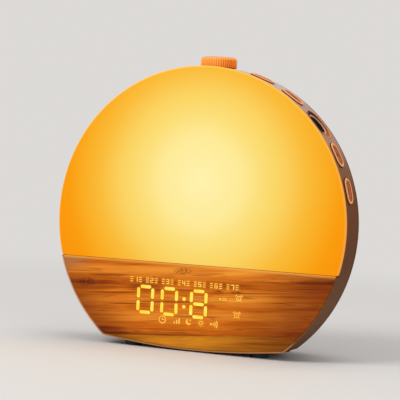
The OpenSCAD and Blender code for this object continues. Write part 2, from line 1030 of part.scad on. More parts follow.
// A screw whose head is in front of what it holds, its shank running back
module screw_from_front(p, head_d, tip_d, shank_r, head_r, head_t) {
    difference() {
        union() {
            rod(p, shank_r, head_d, tip_d);
            rod(p, head_r, head_d - head_t, head_d);
        }
        cross_recess(p, head_r, head_d - head_t - OVER, head_d - head_t / 2);
    }
}

module display_screws() color(STEEL)
    for (p = display_posts)
        screw_from_back(p, display_depth + board_t, backing_depth + 0.4, 1, 2, 1.3);

// ---------------------------------------------------------------- lamp

module reflector_pan() color(WHITE)
    difference() {
        union() {
            slab(pan_flange_depth, pan_flange_depth + pan_flange_t)
                difference() {
                    pan_2d(pan_flange_r, pan_chord_z);
                    pan_2d(pan_r - pan_wall, pan_chord_z + pan_wall);
                }
            slab(pan_flange_depth, pan_floor + pan_floor_t)
                difference() {
                    pan_2d(pan_r, pan_chord_z);
                    pan_2d(pan_r - pan_wall, pan_chord_z + pan_wall);
                }
            slab(pan_floor, pan_floor + pan_floor_t)
                pan_2d(pan_r - pan_wall / 2, pan_chord_z + pan_wall / 2);
        }
        for (p = pan_screw_spots)
            rod(p, 1.15, pan_flange_depth - OVER, pan_flange_depth + pan_flange_t + OVER);
        slab(pan_floor - OVER, pan_floor + pan_floor_t + OVER)
            translate(lamp_cable_at)
                square([8, 2], center = true);
    }

module lamp_board() color(WHITE)
    slab(lamp_board_depth, pan_floor)
        translate([0, led_rise])
            circle(r = led_board_r, $fn = BIG_FN);

module lamp_leds() color("#fff3c0") {
    chip([0, led_rise], 3, 2.6, lamp_board_depth - led_t, lamp_board_depth);
    for (ring = lamp_rings)
        for (i = [0:ring[1] - 1])
            slab(lamp_board_depth - led_t, lamp_board_depth)
                translate([0, led_rise])
                    rotate(i * 360 / ring[1])
                        translate([ring[0], 0])
                            square([3, 2.6], center = true);
}

module pan_screws() color(STEEL)
    for (p = pan_screw_spots)
        screw_from_front(p, pan_flange_depth, pan_flange_depth + pan_flange_t + lug_t,
            0.8, 1.5, 0.7);

// ---------------------------------------------------------------- keys

module key_strip() color("#c2661f")
    band_arc(strip_base, strip_top, key_depth - strip_w / 2, key_depth + strip_w / 2,
        key_angles[0] - 8, key_angles[4] + 6);

module tact_switches() color(BLACK)
    for (a = key_angles)
        at_key(a)
            difference() {
                translate([-switch_w / 2, -switch_w / 2, strip_top + 0.02])
                    cube([switch_w, switch_w, switch_h - 0.02]);
                translate([0, 0, switch_top - key_travel - 1])
                    cylinder(r = tact_r + run_gap, h = switch_h);
            }

module tact_stem(i) color("#e8e2d4")
    at_key(key_angles[i])
        translate([0, 0, switch_top - 0.6])
            cylinder(r = tact_r, h = tact_rise + 0.6 - 0.02);

// One pill-shaped key: cap, retaining flange and the stem that meets its switch
module pill_key(i) color(KEY_WOOD)
    at_key(key_angles[i]) {
        intersection() {
            translate([0, 0, key_flange_base])
                union() {
                    linear_extrude(disc_r + key_proud / 3 - key_flange_base)
                        key_outline_2d();
                    linear_extrude(disc_r)
                        key_outline_2d(-0.35);
                }
            rotate([90, 0, 0])
                cylinder(r = disc_r + key_proud, h = 4 * key_w, center = true, $fn = BIG_FN);
        }
        translate([0, 0, key_flange_base])
            linear_extrude(key_flange_t)
                bar_2d(key_l + 2 * key_flange_over, key_w);
        translate([0, 0, tact_tip])
            cylinder(r = key_stem_r, h = key_stem_len + key_flange_t / 2);
    }

// The round key: its stem stands on the switch, nearer the front than its cap
module round_key() color(BLACK)
    at_key(key_angles[ROUND_KEY]) {
        translate([0, bezel_shift, 0]) {
            difference() {
                translate([0, 0, round_flange_top - key_flange_t])
                    cylinder(r = round_key_r, h = round_key_top - round_flange_top + key_flange_t);
                // the shallow dish for a fingertip
                translate([0, 0, round_key_top + 30 - 0.5])
                    sphere(r = 30, $fn = 96);
            }
            translate([0, 0, round_flange_top - key_flange_t])
                cylinder(r = round_key_r + 1.1, h = key_flange_t);
        }
        translate([0, 0, tact_tip])
            cylinder(r = key_stem_r, h = round_flange_top - tact_tip - key_flange_t / 2);
    }

module round_key_bezel() color(KEY_WOOD)
    at_key(key_angles[ROUND_KEY])
        translate([0, bezel_shift, 0])
            difference() {
                intersection() {
                    translate([0, 0, bezel_base])
                        linear_extrude(bezel_top - bezel_base + OVER)
                            bezel_outline_2d();
                    rotate([90, 0, 0])
                        cylinder(r = bezel_top, h = 2 * bezel_w, center = true, $fn = BIG_FN);
                }
                translate([0, 0, bezel_base - OVER])
                    cylinder(r = bezel_bore_r, h = disc_r);
                // the dish between the rim and the raised ring round the key
                difference() {
                    intersection() {
                        translate([0, 0, bezel_floor - OVER])
                            linear_extrude(4 * OVER)
                                bezel_outline_2d(-0.8);
                        translate([0, 0, bezel_floor])
                            cylinder(r1 = bezel_bore_r + 0.65, r2 = bezel_bore_r + 11.2, h = 2);
                    }
                    translate([0, 0, bezel_floor - OVER])
                        cylinder(r = bezel_bore_r + 0.8, h = OVER + 0.4);
                }
            }

// ---------------------------------------------------------------- knob

module encoder_body() color(STEEL)
    at_knob()
        difference() {
            union() {
                translate([-encoder_w / 2, -encoder_w / 2, encoder_base])
                    cube([encoder_w, encoder_w, encoder_h]);
                translate([0, 0, well_floor - OVER])
                    cylinder(r = bush_r, h = bush_top - well_floor + OVER);
            }
            translate([0, 0, cavity_base])
                cylinder(r = plunger_r + 0.4, h = cavity_top - cavity_base);
            translate([0, 0, cavity_base])
                cylinder(r = shaft_r + run_gap, h = disc_r);
        }

module encoder_nut() color(STEEL)
    at_knob()
        translate([0, 0, well_floor + well_floor_t])
            difference() {
                cylinder(r = nut_r, h = nut_t, $fn = 6);
                translate([0, 0, -OVER])
                    cylinder(r = bush_r + 0.05, h = nut_t + 2 * OVER);
            }

module encoder_plunger() color(BLACK)
    at_knob()
        translate([0, 0, plunger_base])
            cylinder(r = plunger_r, h = plunger_t);

module encoder_shaft() color(STEEL)
    at_knob()
        translate([0, 0, shaft_base])
            cylinder(r = shaft_r, h = shaft_top - shaft_base);

module top_knob() color(KEY_WOOD)
    at_knob()
        difference() {
            rotate_extrude($fn = 96)
                knob_profile();
            for (i = [0:knob_grooves - 1])
                rotate([0, 0, (i + 0.5) * 360 / knob_grooves])
                    translate([knob_r + 0.16, 0, knob_base - OVER])
                        cylinder(r = 0.5, h = knob_rise - knob_edge_r + OVER, $fn = 16);
            translate([0, 0, knob_base - 2 * OVER])
                difference() {
                    cylinder(r = knob_r - knob_wall, h = knob_rise - knob_roof + 2 * OVER);
                    cylinder(r = knob_hub_r, h = knob_rise);
                }
            translate([0, 0, knob_hub_base - OVER])
                cylinder(r = shaft_r + 0.02, h = shaft_top - knob_hub_base + OVER + 0.05);
        }

// Half profile of the knob with its hub, as [radius, height]
module knob_profile() {
    edge_c = [knob_r - knob_edge_r, knob_top - knob_edge_r];
    translate([0, knob_base])
        square([edge_c[0], knob_rise - CROSS]);
    translate([0, knob_base])
        square([knob_r - CROSS, knob_rise - knob_edge_r]);
    translate(edge_c)
        circle(r = knob_edge_r);
    translate([0, knob_hub_base])
        square([knob_hub_r, knob_rise]);
}

// ---------------------------------------------------------------- main board

module main_board() color(BOARD)
    difference() {
        slab(main_depth, main_back)
            box_2d(main_box);
        for (p = standoffs)
            rod(p, 1.4, main_depth - OVER, main_back + OVER);
    }

module board_parts() color(BLACK) {
    // processor, memory and amplifier on the front
    chip([-6, -36], 11, 11, main_depth - 1.4, main_depth);
    chip([-24, -34], 7, 5, main_depth - 1.2, main_depth);
    chip([26, -34], 6, 8, main_depth - 1.2, main_depth);
    // connectors for the cables
    chip(lamp_cable_at - [0, 2], 9, 5, main_depth - lamp_plug_t, main_depth);
    chip(display_cable_at, 17, 4, main_depth - display_plug_t, main_depth);
    // capacitors and a coil at the back
    for (p = [[10, -28], [10, -40]])
        rod(p, 4, main_back, main_back + 9);
    chip([36, -36], 9, 9, main_back, main_back + 4);
    chip([4, -55], 8, 6, main_back, main_back + 3);
}

module board_screws() color(STEEL)
    for (p = standoffs)
        screw_from_front(p, main_depth, main_back + 6, 1, 2.2, 1.4);

module power_socket() color(BLACK) {
    p = [socket_x, socket_z];
    difference() {
        union() {
            slab(main_back, back_inside - 0.1)
                translate([socket_x - socket_w / 2, socket_z - socket_h / 2])
                    square([socket_w, socket_h]);
            rod(p, socket_nose_r, back_inside - OVER, socket_mouth);
        }
        rod(p, socket_r, socket_mouth - socket_bore_len, socket_mouth + OVER);
    }
    rod(p, socket_pin_r, socket_mouth - socket_bore_len - OVER, socket_mouth - socket_pin_back);
}

module coin_holder() color(BLACK) {
    p = [coin_x, coin_z];
    difference() {
        rod(p, coin_r + coin_wall, main_back, main_back + coin_t + 1.2);
        rod(p, coin_r + 0.2, main_back + 0.8, main_back + coin_t + 1.2 + OVER);
    }
}

module coin_cell() color(STEEL)
    rod([coin_x, coin_z], coin_r, main_back + 0.8, main_back + 0.8 + coin_t);

// ---------------------------------------------------------------- speaker

module speaker_basket() color(BLACK)
    difference() {
        turned(speaker_rise)
            polygon([
                [speaker_open_r, flange_depth], [speaker_open_r, flange_depth + flange_t],
                [speaker_r, flange_depth + flange_t], [speaker_r, flange_depth],
                [basket_r + basket_t, flange_depth], [basket_r + basket_t, flange_depth - 4],
                [magnet_r + 0.6, basket_base], [gap_r, basket_base],
                [gap_r, basket_base + basket_t], [magnet_r - 0.6, basket_base + basket_t],
                [basket_r, flange_depth - 4.4], [basket_r, flange_depth]
            ]);
        for (p = speaker_screw_spots)
            rod(p, 1.3, flange_depth - OVER, flange_depth + flange_t + OVER);
        // openings in the cone-shaped wall
        for (a = [0:60:300])
            at_face([0, speaker_rise], flange_depth - 7.6)
                rotate([0, 0, a])
                    translate([10, -3.4, 0])
                        cube([14, 6.8, 5]);
    }

module speaker_magnet() color("#6d6f73")
    turned(speaker_rise) {
        translate([0, magnet_back])
            square([magnet_r, 2]);
        translate([0, magnet_back])
            square([coil_r - 1.1, basket_base + 0.6 - magnet_back]);
        translate([gap_r, magnet_back])
            square([magnet_r - gap_r, basket_base - magnet_back]);
    }

module speaker_surround() color(BLACK)
    turned(speaker_rise)
        translate([speaker_open_r - 0.5, flange_depth - 1.3])
            square([1.4, 1.3]);

module speaker_cone() color("#3a3836")
    turned(speaker_rise) {
        outer = speaker_open_r - 0.5 - CLEAR;
        polygon([
            [coil_r - 0.6, cone_neck], [coil_r, cone_neck],
            [outer, cone_front - cone_t], [outer, cone_front],
            [outer - 1, cone_front], [coil_r - 0.6, cone_neck + 1.2]
        ]);
        translate([0, cone_neck + 0.4])
            square([coil_r - 0.3, 0.6]);
        translate([coil_r - 0.6, cone_neck - 7])
            square([0.6, 7.4]);
    }

module speaker_gasket() color(BLACK)
    turned(speaker_rise)
        translate([speaker_open_r, back_inside - gasket_t])
            square([speaker_screw_reach - 2 - speaker_open_r, gasket_t - CROSS]);

module speaker_screws() color(STEEL)
    for (p = speaker_screw_spots)
        screw_from_front(p, flange_depth, depth - 1, 1, 2.2, 1.4);

// ---------------------------------------------------------------- cables

module display_cable() color(RIBBON)
    slab(display_depth + board_t, main_depth - display_plug_t)
        translate(display_cable_at)
            square([14, cable_t], center = true);

module lamp_cable() color(RIBBON)
    slab(pan_floor, main_depth - lamp_plug_t)
        translate(lamp_cable_at)
            square([6, cable_t], center = true);

module key_cable() color("#c2661f") {
    a = key_angles[0] - 8;
    tail_depth = main_depth - 2.5;
    mid = (strip_base + strip_top) / 2;
    band_arc(strip_base, strip_top, key_depth + strip_w / 2, tail_depth, a, a + 6);
    slab(tail_depth - cable_t, tail_depth - CROSS)
        polygon([
            mid * [cos(a + 1), sin(a + 1)], mid * [cos(a + 5), sin(a + 5)],
            [key_plug[0] + 1, key_plug[3] - 1], [key_plug[0] + 1, key_plug[1] + 1]
        ]);
    slab(tail_depth - cable_t - CLEAR, main_depth)
        box_2d(key_plug);
}

module encoder_cable() color(RIBBON) {
    slab(encoder_cable_depth, encoder_cable_depth + cable_t)
        box_2d([-3, encoder_cable_z, 3, encoder_base]);
    slab(encoder_cable_depth, main_depth)
        box_2d([-3, encoder_cable_z, 3, encoder_cable_z + cable_t]);
}

module speaker_leads() color("#a83226")
    for (x = [-2, 2]) {
        lead_depth = basket_base + lead_r;
        rod([x, lead_z], lead_r, main_back, lead_depth);
        translate([x, lead_depth - depth / 2, face_z + lead_z]) {
            sphere(r = lead_r, $fn = 24);
            cylinder(r = lead_r, h = speaker_rise - lead_reach - lead_z, $fn = 24);
        }
    }

// ---------------------------------------------------------------- fasteners, feet

module case_screws() color(STEEL)
    for (p = case_bosses)
        screw_from_back(p, screw_sink, boss_start + 1.8, screw_r, screw_head_r, 2);

module feet() color(BLACK)
    for (spot = foot_spots)
        for (side = [-1, 1])
            translate([side * spot[0], spot[1] - depth / 2, 0])
                cylinder(r = foot_r, h = foot_seat(spot));

front_housing();
rear_cover();
lens();
wood_panel();
inlay() digit_2d(0);  // digit_1
inlay() digit_2d(1);  // digit_2
inlay() digit_2d(2);  // digit_3
inlay() colon_2d();  // colon
inlay() day_marks_2d();  // day_marks
inlay() half_day_2d();  // half_day_mark
inlay() alarm_marks_2d();  // alarm_marks
inlay() mode_marks_2d();  // mode_marks
display_mask();
display_board();
display_leds();
display_screws();
reflector_pan();
lamp_board();
lamp_leds();
pan_screws();
key_strip();
tact_switches();
tact_stem(0);  // tact_stem_1
tact_stem(1);  // tact_stem_2
tact_stem(2);  // tact_stem_3
tact_stem(3);  // tact_stem_4
tact_stem(4);  // tact_stem_5
pill_key(0);  // side_key_1
pill_key(1);  // side_key_2
pill_key(3);  // side_key_3
pill_key(4);  // side_key_4
round_key();
round_key_bezel();
encoder_body();
encoder_nut();
encoder_plunger();
encoder_shaft();
top_knob();
main_board();
board_parts();
board_screws();
power_socket();
coin_holder();
coin_cell();
speaker_basket();
speaker_magnet();
speaker_surround();
speaker_cone();
speaker_gasket();
speaker_screws();
display_cable();
lamp_cable();
key_cable();
encoder_cable();
speaker_leads();
case_screws();
feet();
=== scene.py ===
"""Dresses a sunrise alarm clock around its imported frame: refined skins, finishes, studio and camera.

Sizes are in millimetres, as in the part's own drawing, and become metres where a mesh is made.
A depth is measured back from the clock's front, and a face position from the centre of its round face.
"""

from __future__ import annotations

import logging
import math
from collections.abc import Callable, Iterable, Sequence
from dataclasses import dataclass
from enum import Enum
from functools import partialmethod

import bmesh
import bpy
from mathutils import Matrix, Vector, geometry, kdtree

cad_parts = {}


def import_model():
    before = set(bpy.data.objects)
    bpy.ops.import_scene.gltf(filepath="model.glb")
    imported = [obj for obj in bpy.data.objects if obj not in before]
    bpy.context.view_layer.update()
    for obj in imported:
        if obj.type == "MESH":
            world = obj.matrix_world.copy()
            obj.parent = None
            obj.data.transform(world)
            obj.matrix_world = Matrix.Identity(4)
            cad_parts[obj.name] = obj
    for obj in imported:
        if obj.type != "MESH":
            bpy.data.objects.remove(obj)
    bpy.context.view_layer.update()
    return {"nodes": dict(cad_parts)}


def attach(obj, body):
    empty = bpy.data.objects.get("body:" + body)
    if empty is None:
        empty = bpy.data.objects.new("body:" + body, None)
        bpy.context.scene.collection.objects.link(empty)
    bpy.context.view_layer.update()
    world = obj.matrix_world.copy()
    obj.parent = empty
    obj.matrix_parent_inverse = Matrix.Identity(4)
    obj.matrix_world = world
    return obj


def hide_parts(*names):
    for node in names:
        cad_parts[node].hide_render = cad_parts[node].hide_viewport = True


LOG = logging.getLogger("sunrise_clock")
MM = 0.001
CASE_BODY = "case"

Colour = tuple[float, float, float]
Pair = tuple[float, float]
Stops = tuple[tuple[float, Colour], ...]
Socket = bpy.types.NodeSocket
Node = bpy.types.Node
Tree = bpy.types.NodeTree
Feed = Socket | float | Sequence[float]

BLACK: Colour = (0.0, 0.0, 0.0)
WHITE: Colour = (1.0, 1.0, 1.0)


def shade(red: int, green: int, blue: int) -> Colour:
    """Turns a display colour into the linear colour that shaders use.

    Args:
        red: Red from 0 to 255.
        green: Green from 0 to 255.
        blue: Blue from 0 to 255.

    Returns:
        The linear colour.
    """

    def linear(level: int) -> float:
        """Undoes the display's curve for one channel."""
        share = level / 255
        return share / 12.92 if share <= 0.04045 else ((share + 0.055) / 1.055) ** 2.4

    return linear(red), linear(green), linear(blue)


def tinted(colour: Colour, factor: float) -> Colour:
    """Darkens or lightens a colour by a factor."""
    return tuple(min(1.0, level * factor) for level in colour)


@dataclass(frozen=True)
class Gauge:
    """Sizes that several sub-assemblies share."""

    disc_r: float = 90.0
    depth: float = 48.0
    face_z: float = 74.8
    base_drop: float = 73.8
    base_curve_r: float = 410.0
    corner_r: float = 4.0
    panel_drop: float = 24.6
    panel_gap: float = 0.1
    lip_w: float = 0.8
    sheet_t: float = 2.0
    seam_depth: float = 22.0
    seam_gap: float = 0.6
    key_depth: float = 8.9
    key_first: float = 14.5
    key_pitch: float = 13.5
    knob_depth: float = 22.2

    @property
    def base_curve_z(self) -> float:
        """Height of the centre of the underside's curve above the centre of the face."""
        return self.base_curve_r - self.base_drop

    def place(self, x: float, depth: float, z: float) -> Vector:
        """Puts a face position at a depth into the frame.

        Args:
            x: Distance to the right of the centre of the face.
            depth: Distance back from the front.
            z: Distance above the centre of the face.

        Returns:
            The point in metres.
        """
        return Vector((x, depth - self.depth / 2, self.face_z + z)) * MM

    def lay(self, points: Iterable[Pair], depth: float) -> list[Vector]:
        """Puts face positions into the frame, all at one depth."""
        return [self.place(x, depth, z) for x, z in points]

    def key_angle(self, step: int) -> float:
        """Angle of a key on the band, counted up from the lowest."""
        return self.key_first + step * self.key_pitch

    def corner(self) -> Pair:
        """Finds the centre of the round between the band and the underside.

        Returns:
            Its x and z from the centre of the face.
        """
        reach = self.disc_r - self.corner_r
        rise = self.base_curve_z**2 + reach**2 - (self.base_curve_r - self.corner_r) ** 2
        z = rise / (2 * self.base_curve_z)
        return math.sqrt(reach**2 - z**2), z


GAUGE = Gauge()


# ---------------------------------------------------------------- shader sheets


class Sheet:
    """A node tree being drawn: adds nodes, feeds their sockets and joins them."""

    def __init__(self, tree: Tree) -> None:
        """Takes over an empty tree."""
        self.tree = tree
        tree.nodes.clear()

    def feed(self, socket: Socket, value: Feed) -> None:
        """Gives a socket a value or joins it to another socket.

        Args:
            socket: The input to fill.
            value: A number, a colour, a vector or an output socket.
        """
        if isinstance(value, Socket):
            self.tree.links.new(value, socket)
        elif isinstance(value, (int, float)):
            socket.default_value = value
        elif len(value) == 3 and len(socket.default_value) == 4:
            socket.default_value = (*value, 1.0)
        else:
            socket.default_value = tuple(value)

    def fill(self, node: Node, feeds: dict[str | int, Feed]) -> None:
        """Feeds several inputs of a node, by name or number."""
        for key, value in feeds.items():
            self.feed(node.inputs[key], value)

    def add(self, kind: str, feeds: dict[str | int, Feed] | None = None, **settings: object) -> Node:
        """Adds a node.

        Args:
            kind: The node's type, without the ShaderNode prefix.
            feeds: What each input gets, by name or number.
            settings: Properties of the node itself.

        Returns:
            The node.
        """
        node = self.tree.nodes.new(kind if kind.startswith("Node") else "ShaderNode" + kind)
        for name, value in settings.items():
            setattr(node, name, value)
        self.fill(node, feeds or {})
        return node

    def math(self, operation: str, a: Feed, b: Feed = 0.0, c: Feed = 0.0, clamp: bool = False) -> Socket:
        """Adds a Math node and returns its result."""
        return self.add("Math", {0: a, 1: b, 2: c}, operation=operation, use_clamp=clamp).outputs[0]

    times = partialmethod(math, "MULTIPLY")
    plus = partialmethod(math, "ADD")
    minus = partialmethod(math, "SUBTRACT")
    over = partialmethod(math, "DIVIDE")
    # a value, its factor and what is added
    scaled = partialmethod(math, "MULTIPLY_ADD")

    def mix(self, factor: Feed, a: Feed, b: Feed, blend: str = "MIX") -> Socket:
        """Adds a colour Mix node and returns its result."""
        return self.add("Mix", {0: factor, 6: a, 7: b}, data_type="RGBA", blend_type=blend).outputs[2]

    def ramp(self, factor: Feed, stops: Sequence[tuple[float, Colour]], smooth: bool = True) -> Socket:
        """Adds a colour ramp.

        Args:
            factor: What runs along the ramp.
            stops: Position and colour of each stop.
            smooth: Whether the colours ease into each other.

        Returns:
            The colour.
        """
        node = self.add("ValToRGB", {0: factor})
        node.color_ramp.interpolation = "EASE" if smooth else "LINEAR"
        elements = node.color_ramp.elements
        while len(elements) < len(stops):
            elements.new(0.5)
        while len(elements) > len(stops):
            elements.remove(elements[-1])
        for element, (position, colour) in zip(elements, stops):
            element.position = position
            element.color = (*colour, 1.0)
        return node.outputs[0]

    def noise(self, vector: Feed, scale: Feed, detail: float = 3.0, roughness: float = 0.5) -> Socket:
        """Adds a noise texture and returns its value."""
        feeds = {"Vector": vector, "Scale": scale, "Detail": detail, "Roughness": roughness}
        return self.add("TexNoise", feeds).outputs[0]

    def spot(self) -> Socket:
        """Returns the object's own coordinates, which are the frame's at rest."""
        return self.add("TexCoord").outputs["Object"]

    def carried(self, name: str) -> Socket:
        """Returns a number that the mesh carries at each point."""
        return self.add("Attribute", attribute_name=name).outputs["Fac"]

    def stretch(self, vector: Feed, scale: Sequence[float]) -> Socket:
        """Scales a vector by axis and returns it."""
        return self.add("VectorMath", {0: vector, 1: scale}, operation="MULTIPLY").outputs[0]

    def axes(self, vector: Feed) -> list[Socket]:
        """Splits a vector into its three numbers."""
        return list(self.add("SeparateXYZ", {0: vector}).outputs)

    def length(self, vector: Feed) -> Socket:
        """Measures a vector."""
        return self.add("VectorMath", {0: vector}, operation="LENGTH").outputs["Value"]

    def reach(self, spot: Feed, x: float, z: float) -> Socket:
        """Measures how far a spot is from a face position, as seen from the front.

        Args:
            spot: The spot.
            x: The position's distance to the right of the centre of the face.
            z: The position's distance above the centre of the face.

        Returns:
            The distance in metres.
        """
        feeds = {0: spot, 1: tuple(GAUGE.place(x, 0.0, z))}
        away = self.add("VectorMath", feeds, operation="SUBTRACT").outputs[0]
        return self.length(self.stretch(away, (1.0, 0.0, 1.0)))

    def depth(self, y: Feed) -> Socket:
        """Turns a place along Y into the depth behind the clock's front, in millimetres."""
        return self.scaled(y, 1 / MM, GAUGE.depth / 2)

    def fade(self, value: Feed, low: float, high: float) -> Socket:
        """Eases a value from 0 at low to 1 at high."""
        return self.add("MapRange", {0: value, 1: low, 2: high}, interpolation_type="SMOOTHSTEP").outputs[0]

    def window(self, value: Feed, rise: Pair, fall: Pair) -> Socket:
        """Eases a value from 0 to 1 over its rise, and back to 0 over its fall."""
        return self.times(self.fade(value, *rise), self.fade(value, *reversed(fall)))

    def bump(self, height: Feed, strength: float, distance: float = 0.0001) -> Socket:
        """Adds a Bump node and returns its normal."""
        feeds = {"Height": height, "Strength": strength, "Distance": distance}
        return self.add("Bump", feeds).outputs[0]


class Effect(Enum):
    """Surface effects that several finishes share, each one a node group."""

    MOULDED = "moulded_grain"
    STREAKED = "long_streaks"
    HANDLED = "handling_marks"
    RINGED = "turned_rings"


def _group(kind: Effect, inputs: dict[str, float], outputs: Sequence[str]) -> tuple[Sheet, list[Socket], Node]:
    """Starts a shader node group.

    Args:
        kind: Which effect it draws.
        inputs: Its number inputs and their values.
        outputs: Its number outputs.

    Returns:
        The group's sheet, what its inputs give, and the node that takes its results.
    """
    tree = bpy.data.node_groups.new(kind.value, "ShaderNodeTree")
    for name, value in inputs.items():
        socket = tree.interface.new_socket(name, in_out="INPUT", socket_type="NodeSocketFloat")
        socket.default_value = value
    for name in outputs:
        tree.interface.new_socket(name, in_out="OUTPUT", socket_type="NodeSocketFloat")
    sheet = Sheet(tree)
    return sheet, list(sheet.add("NodeGroupInput").outputs), sheet.add("NodeGroupOutput")


def _moulded() -> Tree:
    """Draws fine moulded grain: a pebbled height and a slow change of tone.

    Returns:
        The group.
    """
    inputs = {"Grain Size": 2500.0, "Tone Size": 40.0}
    sheet, (grain_size, tone_size, *_), made = _group(Effect.MOULDED, inputs, ("Height", "Tone"))
    spot = sheet.spot()
    cells = sheet.add("TexVoronoi", {"Vector": spot, "Scale": grain_size}, feature="SMOOTH_F1")
    fine = sheet.noise(spot, grain_size, 2.0)
    sheet.fill(made, {0: sheet.plus(cells.outputs[0], fine), 1: sheet.noise(spot, tone_size, 4.0, 0.6)})
    return sheet.tree


def _streaked() -> Tree:
    """Draws long streaks along X, a fine one and a broad one, as in fibres or brushing.

    Returns:
        The group.
    """
    inputs = {"Along": 6.0, "Across": 900.0, "Broad": 160.0, "Tilt": 0.0}
    sheet, (length, across, wide, tilt, *_), made = _group(Effect.STREAKED, inputs, ("Fine", "Broad", "Height"))
    x, y, z = sheet.axes(sheet.spot())
    along = sheet.times(x, length)
    level = sheet.minus(z, sheet.times(x, tilt))

    def run(size: Socket, detail: float) -> Socket:
        """Draws one layer of streaks, this fine across."""
        vector = sheet.add("CombineXYZ", {0: along, 1: sheet.times(y, size), 2: sheet.times(level, size)})
        return sheet.noise(vector.outputs[0], 1.0, detail, 0.6)

    fine, broad = run(across, 4.0), run(wide, 3.0)
    sheet.fill(made, {0: fine, 1: broad, 2: sheet.plus(fine, sheet.times(broad, 0.5))})
    return sheet.tree


def _handled() -> Tree:
    """Draws handling marks: faint smears that change the gloss.

    Returns:
        The group.
    """
    sheet, (size, amount, *_), made = _group(Effect.HANDLED, {"Size": 60.0, "Amount": 0.1}, ("Smear",))
    spot = sheet.spot()
    patch = sheet.noise(spot, size, 5.0, 0.65)
    wiped = sheet.noise(sheet.stretch(spot, (1.0, 1.0, 5.0)), sheet.times(size, 3.0), 3.0)
    sheet.fill(made, {0: sheet.times(sheet.times(sheet.fade(patch, 0.4, 0.7), wiped), amount)})
    return sheet.tree


def _ringed() -> Tree:
    """Draws turned rings round a vertical axis over X = 0, as on a lathe.

    Returns:
        The group.
    """
    sheet, (centre_y, pitch, *_), made = _group(Effect.RINGED, {"Centre Y": 0.0, "Pitch": 5000.0}, ("Height",))
    x, y, _ = sheet.axes(sheet.spot())
    vector = sheet.add("CombineXYZ", {0: x, 1: sheet.minus(y, centre_y)}).outputs[0]
    wave = sheet.math("SINE", sheet.times(sheet.length(vector), pitch))
    sheet.fill(made, {0: sheet.times(wave, sheet.noise(vector, 300.0, 2.0))})
    return sheet.tree


BUILDERS: dict[Effect, Callable[[], Tree]] = {
    Effect.MOULDED: _moulded,
    Effect.STREAKED: _streaked,
    Effect.HANDLED: _handled,
    Effect.RINGED: _ringed,
}


def effect(sheet: Sheet, kind: Effect, **values: float) -> dict[str, Socket]:
    """Places a shared effect in a material, building its group the first time.

    Args:
        sheet: The material's sheet.
        kind: Which effect.
        values: Its inputs, with underscores for spaces.

    Returns:
        Its outputs by name.
    """
    tree = bpy.data.node_groups.get(kind.value) or BUILDERS[kind]()
    node = sheet.add("Group", node_tree=tree)
    sheet.fill(node, {name.replace("_", " "): value for name, value in values.items()})
    return {socket.name: socket for socket in node.outputs}


# ---------------------------------------------------------------- finishes


class Finish:
    """A finish that can make its material once and hand it out again."""

    name: str

    def draw(self, sheet: Sheet, shader: Node) -> None:
        """Draws the finish's own nodes into the shader."""
        raise NotImplementedError

    def material(self) -> bpy.types.Material:
        """Finds the finish's material, and makes it the first time.

        Returns:
            The material.
        """
        found = bpy.data.materials.get(self.name)
        if found is not None:
            return found
        made = bpy.data.materials.new(self.name)
        made.use_nodes = True
        sheet = Sheet(made.node_tree)
        shader = sheet.add("BsdfPrincipled")
        sheet.add("OutputMaterial", {0: shader.outputs[0]})
        self.draw(sheet, shader)
        return made


@dataclass(frozen=True)
class Moulded(Finish):
    """Moulded plastic with a fine grain and a slow change of tone."""

    name: str
    colour: Colour
    roughness: float = 0.5
    grain: float = 0.06
    grain_size: float = 2500.0
    tone: float = 0.12
    smear: float = 0.12
    coat: float = 0.0
    coat_roughness: float = 0.15
    specular: float = 0.5

    def draw(self, sheet: Sheet, shader: Node) -> None:
        """Draws the grain, the tone and the gloss.

        Args:
            sheet: The material's sheet.
            shader: Its Principled shader.
        """
        grain = effect(sheet, Effect.MOULDED, Grain_Size=self.grain_size)
        marks = effect(sheet, Effect.HANDLED, Amount=self.smear)
        dark, light = tinted(self.colour, 1 - self.tone), tinted(self.colour, 1 + self.tone)
        sheet.fill(shader, {
            "Base Color": sheet.mix(grain["Tone"], dark, light),
            "Roughness": sheet.plus(marks["Smear"], self.roughness),
            "Normal": sheet.bump(grain["Height"], self.grain),
            "Coat Weight": self.coat,
            "Coat Roughness": self.coat_roughness,
            "Specular IOR Level": self.specular,
        })


